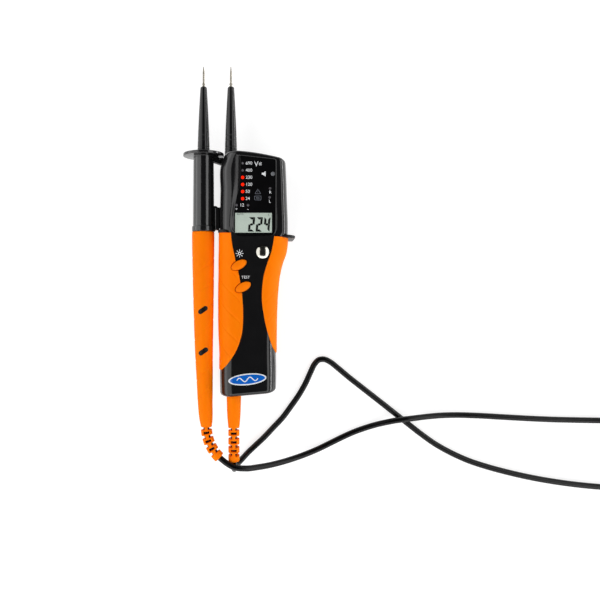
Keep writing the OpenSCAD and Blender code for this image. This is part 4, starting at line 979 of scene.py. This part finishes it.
class TESTER_OT_display(bpy.types.Operator):
    """Builds the window panel, the liquid crystal display with its digits, the lamps and the printed marks"""
    bl_idname = "tester.display"
    bl_label = "Display"

    def execute(self, context):
        window, thick = level(WINDOW_TOP), mm("print_height")
        opening = slab(box_outline(*LCD_BOX, 0.5, 0.1), 30, 40)
        pane = slab(window_outline(0.0, 0.0), WINDOW_TOP - 1.6, WINDOW_TOP, 0.15)
        piece("window_pane", [pane], "window_panel", "display_window", [opening])
        panel = slab(box_outline(*LCD_BOX, 0.35), 31.3, LCD_TOP, 0.12)
        carrier = slab(box_outline(*LCD_BOX, 0.5, -0.8), BOARD_TOP, 31.5)
        piece("lcd_panel", [panel, carrier], "display_reflector", "lcd_module")
        surfaces = []
        for i, digit in enumerate("224"):
            bars = seven_segments(digit, -2.6 + 5.2 * i, 2.3, mm("digit_height"))
            surfaces += [laid(bar, level(LCD_TOP), 0.02, 0.03) for bar in bars]
        surfaces += lettering([("AUTO", -8.6, 13.3, 1.13), ("V", 10.6, 12.6, 1.0)], level(LCD_TOP - 0.01))
        piece("lcd_segments", surfaces, "display_segments")
        ladder = [(LAMP_X, LAMP_TOP_Y - LAMP_PITCH * i) for i in range(len(LADDER))]
        for name, look, node_name, spots, r, top in (
                ("level_lamps_lit", "lamp_lens_lit", "lit_lamps", ladder[DARK_LAMPS:], LAMP_R * 0.82, 34.95),
                # The unlit level lamps and the side lamps carry the painted glint, a grey colour standing in for
                # their reflection
                ("level_lamps_dark", "lamp_lens_dark", "dark_lamps", ladder[:DARK_LAMPS], LAMP_R * 0.6, 34.86),
                ("side_lamps", "lamp_lens_dark", "polarity_lamps", SMALL_LAMPS, 0.85, 34.86),
                ("light_sensor", "sensor_lens", "round_lens", [LENS], LAMP_R, 34.95)):
            piece(name, [lamp_dome(*spot, r, top) for spot in spots], look, node_name)
        size = mm("label_height")
        rows = [(text, -2.65 - 0.85 * (len(text) == 2), y, size) for text, (x, y) in zip(LADDER, ladder)]
        rows += [("12", -7.4, 19.35, size), ("+", -11.0, 16.7, size * 0.9), ("-", -3.3, 16.7, size * 1.1)]
        marks = lettering(rows + SIGNS, window)
        marks.append(laid(np.add(SPEAKER, SPEAKER_AT), window, thick))
        # The current sign: a wave over two straight strokes
        half = 0.95
        t = np.linspace(-half, half, 24)
        for dy, swing in ((0.95, 0.32), (0.2, 0), (-0.55, 0)):
            bend = swing * np.sin(t / half * np.pi)
            band = np.vstack([np.column_stack([t, bend + 0.17]), np.column_stack([t, bend - 0.17])[::-1]])
            marks.append(laid(band + CURRENT_AT + [0, dy], window, thick))
        piece("window_marks", marks, "mark_print")
        outlines = [rounded(TRIANGLE, 0.5) + TRIANGLE_AT, box_outline(1.0, 22.7, 5.6, 25.7, 0.5),
                    box_outline(2.2, 23.6, 4.4, 24.8, 0.5)]
        dim = [laid_ring(outer, offset(outer, -0.34), window, thick) for outer in outlines]
        piece("window_dim_marks", dim + lettering([("!", 3.35, 28.3, 1.7)], window), "dim_print")
        return {"FINISHED"}


class TESTER_OT_controls(bpy.types.Operator):
    """Builds the two oval buttons, the domed touch electrode and the marks beside them"""
    bl_idname = "tester.controls"
    bl_label = "Controls"

    def execute(self, context):
        edge, edge_high, bulge, reach = 0.62, 0.45, 0.23, 2.28
        for name, spot in BUTTONS.items():
            face = face_at(spot)
            rows = [(0.0, 26.75)]
            rows += [(-edge * (1 - math.cos(a)), face + edge + edge_high * math.sin(a))
                     for a in np.linspace(0, np.pi / 2, 7)]
            rows += [(-edge - s, face + edge + edge_high + bulge * (1 - ((reach - s) / reach)**2))
                     for s in np.linspace(0.3, 2.2, 6)]
            cap = stack(lambda grow, z: button_oval(name, grow), rows)
            foot = slab(button_oval(name, 0.8), 25.95, 26.75)
            piece(f"{name}_cap", [cap, foot], "button_rubber", name, body=name)
        face = face_at(ELECTRODE)
        t = np.linspace(1, 0, 14) * math.asin(ELECTRODE_R / DOME_R)
        dome = np.column_stack([DOME_R * np.sin(t), face + 1.6 - DOME_R * (1 - np.cos(t))])
        dome[-1, 0] = NEAR_AXIS
        profile = [[2.15, BOARD_TOP], [2.15, face - 0.6], [ELECTRODE_R, face - 0.6], *dome]
        piece("touch_dome", [post(*ELECTRODE, profile, 64)], "plated_metal", "touch_electrode", angle=50)
        thick = mm("print_height")
        marks = lettering([("TEST", -4.95, -29.25, 1.85)], front_height)
        marks.append(laid_ring(oval(1.1, 1.1, 32) + SUN_AT, oval(0.6, 0.6, 32) + SUN_AT, front_height, thick))
        ray = np.array([[1.5, -0.22], [2.7, -0.17], [2.7, 0.17], [1.5, 0.22]])
        marks += [laid(turned_by(ray, i * np.pi / 4, SUN_AT), front_height, thick) for i in range(8)]
        piece("control_marks", marks, "mark_print")
        return {"FINISHED"}


class TESTER_OT_badge(bpy.types.Operator):
    """Lays the oval badge on the crowned front: a pale rim, a blue field and a plain wave"""
    bl_idname = "tester.badge"
    bl_label = "Badge"

    def execute(self, context):
        rim = mm("badge_rim")
        (a, b), place = BADGE_HALF, (BADGE_TURN, BADGE)
        outline = turned_by(oval(a, b, 120), *place)
        field = turned_by(oval(a - rim, b - rim * 0.8, 120), *place)
        piece("badge_rim", [laid_disc(outline, front_height, 0.1, 12, 0.24)], "badge_pale_enamel", "badge_plate")
        piece("badge_field", [laid_disc(field, lambda x, y: front_height(x, y) + 0.08, 0.12, 12, 0.05)],
              "badge_enamel")
        t = np.linspace(-1, 1, 90)
        wave = np.column_stack([t * 7.2, 1.35 * np.sin(t * 2 * np.pi)])
        slope = np.gradient(wave, axis=0)
        slope /= np.linalg.norm(slope, axis=1)[:, None]
        across = np.column_stack([-slope[:, 1], slope[:, 0]]) * 0.33
        upper, lower = turned_by(wave + across, *place), turned_by(wave - across, *place)
        loop = [(lower, 0.1), (upper, 0.1), (upper, 0.26), (lower, 0.26)]
        rings = np.stack([at_height(side, front_height, lift) for side, lift in loop], 1)
        piece("badge_wave", [skin(rings)], "badge_pale_enamel")
        return {"FINISHED"}


def sleeve_profile():
    """Radius against Y of an insulating sleeve: a cone with a slight swell and a rounded mouth, and shallow
    grooves in bands near its root."""
    base, tip, swell, mouth_r = 4.35, 2.25, 0.8, 1.1
    y = np.linspace(0, SLEEVE_L, 420)
    v = y / SLEEVE_L
    r = base - (base - tip) * v + swell * v * (1 - v)
    for band in (0.06, 0.10, 0.20, 0.27):
        r -= 0.2 * np.exp(-((y - band * SLEEVE_L) / 0.22)**2)
    r -= 1.15 * fallen((y - SLEEVE_L + mouth_r) / mouth_r)
    return np.vstack([[base, SLEEVE_Y - SLEEVE_FOOT], np.column_stack([r, SLEEVE_Y + y])])


def pin_profile():
    """Radius against Y of a probe pin: a collar, a step, a straight stretch and a long cone with a round point."""
    y0, r = SLEEVE_Y + SLEEVE_L, 0.75
    return fillet([[1.1, y0 - 10], [1.1, y0 + r], [r * 1.1, y0 + r], [r * 1.1, y0 + 2 * r],
                   [r * 1.5, y0 + 2 * r], [r * 1.5, y0 + 3 * r], [r, y0 + 3.4 * r], [r, y0 + 10.01],
                   [r * 0.3, y0 + 14.1], [r * 0.18, y0 + 14.25], [NEAR_AXIS, y0 + 14.3]], 0.15, 4)


class TESTER_OT_probes(bpy.types.Operator):
    """Turns the insulating sleeves and the probe pins"""
    bl_idname = "tester.probes"
    bl_label = "Probes"

    def execute(self, context):
        for name, x, body in (("main", MAIN_X, "main_unit"), ("handset", HANDSET_X, "handset")):
            piece(f"{name}_probe_sleeve", [lathe(x, PROBE_Z, sleeve_profile())], "sleeve_plastic",
                  f"{name}_sleeve", body=body, angle=50)
            piece(f"{name}_probe_pin", [lathe(x, PROBE_Z, pin_profile(), 48)], "pin_metal", f"{name}_pin",
                  body=body)
        return {"FINISHED"}


def capsule(mid, r):
    """An inlay's outline: a slanting bar with round ends."""
    t = np.linspace(-np.pi / 2, np.pi / 2, 14)
    right = np.stack([INLAY_HALF + r * np.cos(t), r * np.sin(t)], -1)
    return turned_by(np.vstack([right, -right]), INLAY_TURN, mid)


def handset_grip():
    """The handset's grip: a circle whose radius and middle follow the table, with rounded ends. Two grooves wind
    round it, each g exp(-(distance / width) squared) deep."""
    end_r, end = 0.7, HANDSET_GRIP[-1, 0]
    place = crowded(end, 0.75, 420)
    r, shift = columns(HANDSET_GRIP, place)
    angle = np.linspace(-np.pi, np.pi, 112, endpoint=False)
    y = COLLAR_Y - place + 0 * angle
    phase = (y - INLAYS[0][1]) / WINDING - angle / np.pi
    near = (phase - np.round(phase)) * WINDING * math.cos(INLAY_TURN)
    held = ramp(-y, 8, 14) * ramp(y, -118, -108)
    r = r - held * mm("groove_depth") * np.exp(-(near / mm("groove_width"))**2)
    r = r - end_r * fallen(1 - np.minimum(place, end - place) / end_r)
    return skin(np.stack([HANDSET_X + shift + r * np.sin(angle), y, PROBE_Z + r * np.cos(angle)], -1))


class TESTER_OT_handset(bpy.types.Operator):
    """Builds the handset: its barrel with collar, flange and docking fins, its soft grip with winding grooves,
    and the inlays"""
    bl_idname = "tester.handset"
    bl_label = "Handset"

    def execute(self, context):
        low = FLANGE_Y - 2.0
        barrel = fillet([[8.1, COLLAR_Y], [8.1, COLLAR_Y + 3.7], [7.4, COLLAR_Y + 3.7], [7.05, low],
                         [14.2, low], [14.2, FLANGE_Y]], mm("edge_round"))
        piece("barrel", [lathe(HANDSET_X, PROBE_Z, barrel, 96)], "barrel_plastic", "handset_barrel",
              body="handset", angle=50)
        fins = []
        for y, l, root in FINS:
            shape = rounded([[HANDSET_X, y + 4], [root, y], [root, y + l - 2], [root - 2, y + l],
                             [HANDSET_X, y + l]], 1.0)
            fins.append(slab(shape, 17.7, 22.3, 0.9, 0.9, 5))
            fins.append(slab(box_outline(root - 1, y + 1, root + 1.95, y + l - 1, 0.3), 18.5, 21.5, 0.2))
        tab = fillet([[NEAR_AXIS, 3.6], [1.9, 3.6], [2.1, 19.4], [NEAR_AXIS, 19.9]], 1.2)
        fins.append(lathe(-25.35, 20.7, tab, 40))
        piece("docking_fins", fins, "barrel_plastic", body="handset")
        slots = [slab(capsule(mid, 1.65), 22.0, 40) for mid in INLAYS]
        piece("handset_soft_grip", [handset_grip()], "grip_rubber", "handset_grip", slots, "handset")
        bars = []
        for (x, y), r in zip(INLAYS, INLAY_TOPS):
            round_top = lambda px, py: PROBE_Z + np.sqrt(r * r - (px - x)**2)
            bars.append(laid_disc(capsule((x, y), 1.6), round_top, 0.0, 8, 2.0))
        piece("inlay_bars", bars, "core_plastic", "grip_inlays", body="handset")
        return {"FINISHED"}


def relief_section(s):
    """Sections of a ribbed strain relief, as places across and up. Round the notches on two faces the radius
    falls to the larger of the core and w / sin t, so that a web 2w wide is left. In the windows of the other two
    faces the height falls to the same core, inside the cord's surface."""
    phi = np.linspace(0, 2 * np.pi, RELIEF_SIDES, endpoint=False)
    rib_r, end_r, core, web, soft = 3.9, 0.3, 1.9, 1.05, 0.07
    r = rib_r - end_r * fallen(1 - (RIBBED_L - s) / end_r) + 0 * phi
    inner = np.minimum(np.maximum(web / np.maximum(np.abs(np.sin(phi)), 0.05), core), r)
    notch, window = np.zeros_like(s), np.zeros_like(s)
    for i in range(RIBS):
        mid = i * RIB_PITCH + RIB_GAP / 2
        notch = np.maximum(notch, 1 - ramp(np.abs(s - mid), 1.1 - soft, 1.1 + soft))
        if i < RIBS - 1:
            mid += RIB_PITCH / 2
            window = np.maximum(window, 1 - ramp(np.abs(s - mid), 0.9 - soft, 0.9 + soft))
    r = r + (inner - r) * notch
    across, up = r * np.sin(phi), r * np.cos(phi)
    floor = np.sign(up) * np.sqrt(np.maximum(core**2 - across**2, 0))
    open_at = window * (1 - ramp(np.abs(across), 2.0 - soft, 2.0 + soft))
    return across, up + (floor - up) * open_at


class TESTER_OT_reliefs(bpy.types.Operator):
    """Builds the two ribbed strain reliefs, whose windows and notches show the cord inside"""
    bl_idname = "tester.reliefs"
    bl_label = "Strain Reliefs"

    def execute(self, context):
        s = np.linspace(0, RIBBED_L, 240)[:, None]
        section = relief_section(s)
        place = np.linspace(NECK[-1, 0], 0, 60)
        sine, cosine, y = around(np.column_stack([through(NECK, place), place]), RELIEF_SIDES)
        neck = np.stack([MAIN_RELIEF[0] + sine, MAIN_RELIEF[1] + y, PROBE_Z + cosine], -1)
        piece("main_relief", [skin(np.concatenate([neck, main_bend(s, *section)[1:]]))], "grip_rubber",
              "main_strain_relief")
        piece("handset_relief", [skin(handset_bend(s, *section))], "grip_rubber", "handset_strain_relief",
              body="handset")
        return {"FINISHED"}


def soft_edges():
    """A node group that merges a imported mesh's loose triangles and shades it smooth below 32 degrees."""
    group = bpy.data.node_groups.new("soft_edges", "GeometryNodeTree")
    for way in ("INPUT", "OUTPUT"):
        group.interface.new_socket("Geometry", in_out=way, socket_type="NodeSocketGeometry")
    source = node(group, "NodeGroupInput")[0]
    merged = node(group, "GeometryNodeMergeByDistance", {"Geometry": source, "Distance": 1e-6})["Geometry"]
    smooth = node(group, "GeometryNodeSetShadeSmooth", {"Geometry": merged})["Geometry"]
    angle = node(group, "GeometryNodeInputMeshEdgeAngle")["Unsigned Angle"]
    steep = node(group, "FunctionNodeCompare", {0: angle, 1: math.radians(32)})["Result"]
    sockets = {"Geometry": smooth, "Selection": steep, "Shade Smooth": False}
    sharp = node(group, "GeometryNodeSetShadeSmooth", sockets, domain="EDGE")["Geometry"]
    node(group, "NodeGroupOutput", {0: sharp})
    return group


def screw(x, y, low, high, recess):
    """A screw, head down: its head is as deep as its recess, and its shank goes up."""
    head_r, shank_r = 2.5, 1.25
    profile = [[head_r, low], [head_r, low + recess], [shank_r, low + recess], [shank_r, high]]
    return post(x, y, fillet(profile, 0.15, 4))


class TESTER_OT_fasteners(bpy.types.Operator):
    """Builds the battery cover with its ridges, and the cross-head screws"""
    bl_idname = "tester.fasteners"
    bl_label = "Battery Cover and Screws"

    def execute(self, context):
        x, y = COVER_SCREW
        plate = slab(box_outline(*COVER, 1.5), 0.3, 2.3, 0, 0.5, 5)
        hole = post(x, y, [[3.2, -1], [2.55, 0.5], [2.55, 1.3], [1.3, 1.31], [1.3, 4]])
        grooves = [slab(box_outline(x - 6, low, x + 6, low + 0.7, 0.3), -1, 0.85)
                   for low in np.linspace(COVER[3] - 9, COVER[3] - 4, 4)]
        piece("cover", [plate], "housing_plastic", "battery_cover", [hole] + grooves, "battery_door")
        cross = [turned_by(box_outline(-1.4, -0.3, 1.4, 0.3, 0.1), turn + 0.4) for turn in (0, np.pi / 2)]
        piece("cover_screw_head", [screw(x, y, 0.4, 11.9, 0.85)], "zinc_steel", "cover_screw",
              [slab(bar + COVER_SCREW, -1, 0.95) for bar in cross], "battery_door")
        piece("shell_screw_heads", [screw(*spot, 4.4, 27.0, 1.6) for spot in SCREWS], "zinc_steel",
              "shell_screws", [slab(bar + spot, 3, 5.5) for spot in SCREWS for bar in cross])
        return {"FINISHED"}


class TESTER_OT_frame_finishes(bpy.types.Operator):
    """Gives the frame's own parts, inside the housing and on its end, their finishes and smooth shading"""
    bl_idname = "tester.frame_finishes"
    bl_label = "Frame Finishes"

    def execute(self, context):
        group = soft_edges()
        for name, look in FRAME_FINISHES.items():
            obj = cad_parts[name]
            for slot in obj.material_slots:
                slot.material = finish(look)
            obj.modifiers.new("soft_edges", "NODES").node_group = group
        return {"FINISHED"}


def floor_material():
    """The floor: a pale surface that glows to the camera and in reflections. The glow rises from 0.74 to 1 with
    the distance from the tester, so that a low view has no grey band behind it."""
    material, tree, shader = new_material("pale_floor")
    wire(tree, shader, {"Base Color": (0.86, 0.86, 0.87, 1), "Roughness": 0.7})
    path = node(tree, "ShaderNodeLightPath")
    mirrored = either(tree, path["Is Glossy Ray"], path["Is Transmission Ray"])
    seen = either(tree, path["Is Camera Ray"], mirrored)
    spot = node(tree, "ShaderNodeTexCoord")["Object"]
    away = node(tree, "ShaderNodeVectorMath", {0: spot}, operation="LENGTH")["Value"]
    bright = node(tree, "ShaderNodeEmission", {"Strength": spread_over(tree, away, 0.5, 1.8, 0.74, 1.0)})
    blank = node(tree, "ShaderNodeBsdfDiffuse", {"Color": (0.46, 0.46, 0.46, 1)})
    both = node(tree, "ShaderNodeAddShader", {0: bright["Emission"], 1: blank["BSDF"]})["Shader"]
    mix = node(tree, "ShaderNodeMixShader", {"Fac": seen, 1: shader.outputs["BSDF"], 2: both})["Shader"]
    wire(tree, tree.nodes["Material Output"], {"Surface": mix})
    return material


def room_world():
    """The room: white to the camera, a faint even light on the tester, and in reflections white at the horizon
    and nearly black above."""
    world = bpy.data.worlds.new("room")
    world.use_nodes = True
    tree = world.node_tree
    path, place = node(tree, "ShaderNodeLightPath"), node(tree, "ShaderNodeTexCoord")["Generated"]
    up = node(tree, "ShaderNodeSeparateXYZ", {"Vector": place})["Z"]
    fall = spread_over(tree, up, 0.12, 0.45, 1.0, 0.015)
    dim = node(tree, "ShaderNodeMix", {"Factor": path["Is Glossy Ray"], "A": 0.1, "B": fall})["Result"]
    seen = either(tree, path["Is Camera Ray"], path["Is Transmission Ray"])
    lit = node(tree, "ShaderNodeMix", {"Factor": seen, "A": dim, "B": 1.0})["Result"]
    wire(tree, tree.nodes["Background"], {"Color": (1, 1, 1, 1), "Strength": lit})
    return world


class TESTER_OT_stage(bpy.types.Operator):
    """Sets the pale floor, four area lamps and the even room round the tester"""
    bl_idname = "tester.stage"
    bl_label = "Stage"

    def execute(self, context):
        t = np.linspace(-4000, 4000, 9)
        x, y = np.meshgrid(t, t)
        floor = raw("floor", [skin(np.stack([x, y, 0 * x - 0.02], -1), False)])
        floor.data.materials.append(floor_material())
        for name, across, along, width, depth, radiance in LIGHTS:
            lamp = bpy.data.lights.new(name, "AREA")
            lamp.shape, lamp.size, lamp.size_y = "RECTANGLE", width, depth
            lamp.energy = radiance * LIGHT_POWER * width * depth
            box = bpy.data.objects.new(name, lamp)
            a, b = math.radians(across), math.radians(along)
            way = np.array([math.sin(a), math.sin(b), math.cos(a) * math.cos(b)])
            box.location = way * LIGHT_AWAY + [0, -0.04, 0]
            box.rotation_euler = (-b, a, 0)
            box.visible_camera = False
            context.scene.collection.objects.link(box)
        context.scene.world = room_world()
        context.scene.view_settings.view_transform = "Standard"
        return {"FINISHED"}


STEPS = ("camera", "cords", "housing", "grips", "display", "controls", "badge", "probes", "handset", "reliefs",
         "fasteners", "frame_finishes", "stage")


class TESTER_PT_panel(bpy.types.Panel):
    """Lists the tester's pieces in the order in which they are made"""
    bl_idname = "TESTER_PT_panel"
    bl_label = "Voltage Tester"
    bl_space_type = "VIEW_3D"
    bl_region_type = "UI"
    bl_category = "Tester"

    def draw(self, context):
        for step in STEPS:
            self.layout.operator(f"tester.{step}")
        for group in (context.scene.tester_sizes, context.scene.tester_colours):
            box = self.layout.box()
            for name in group.__annotations__:
                box.prop(group, name)


CLASSES = (TesterSizes, TesterColours, TESTER_OT_camera, TESTER_OT_cords, TESTER_OT_housing, TESTER_OT_grips,
           TESTER_OT_display, TESTER_OT_controls, TESTER_OT_badge, TESTER_OT_probes, TESTER_OT_handset,
           TESTER_OT_reliefs, TESTER_OT_fasteners, TESTER_OT_frame_finishes, TESTER_OT_stage, TESTER_PT_panel)


def register():
    for cls in CLASSES:
        bpy.utils.register_class(cls)
    bpy.types.Scene.tester_sizes = bpy.props.PointerProperty(type=TesterSizes)
    bpy.types.Scene.tester_colours = bpy.props.PointerProperty(type=TesterColours)


def unregister():
    del bpy.types.Scene.tester_colours
    del bpy.types.Scene.tester_sizes
    for cls in reversed(CLASSES):
        bpy.utils.unregister_class(cls)


def main():
    register()
    for step in STEPS:
        getattr(bpy.ops.tester, step)()


if __name__ == "__main__":
    main()
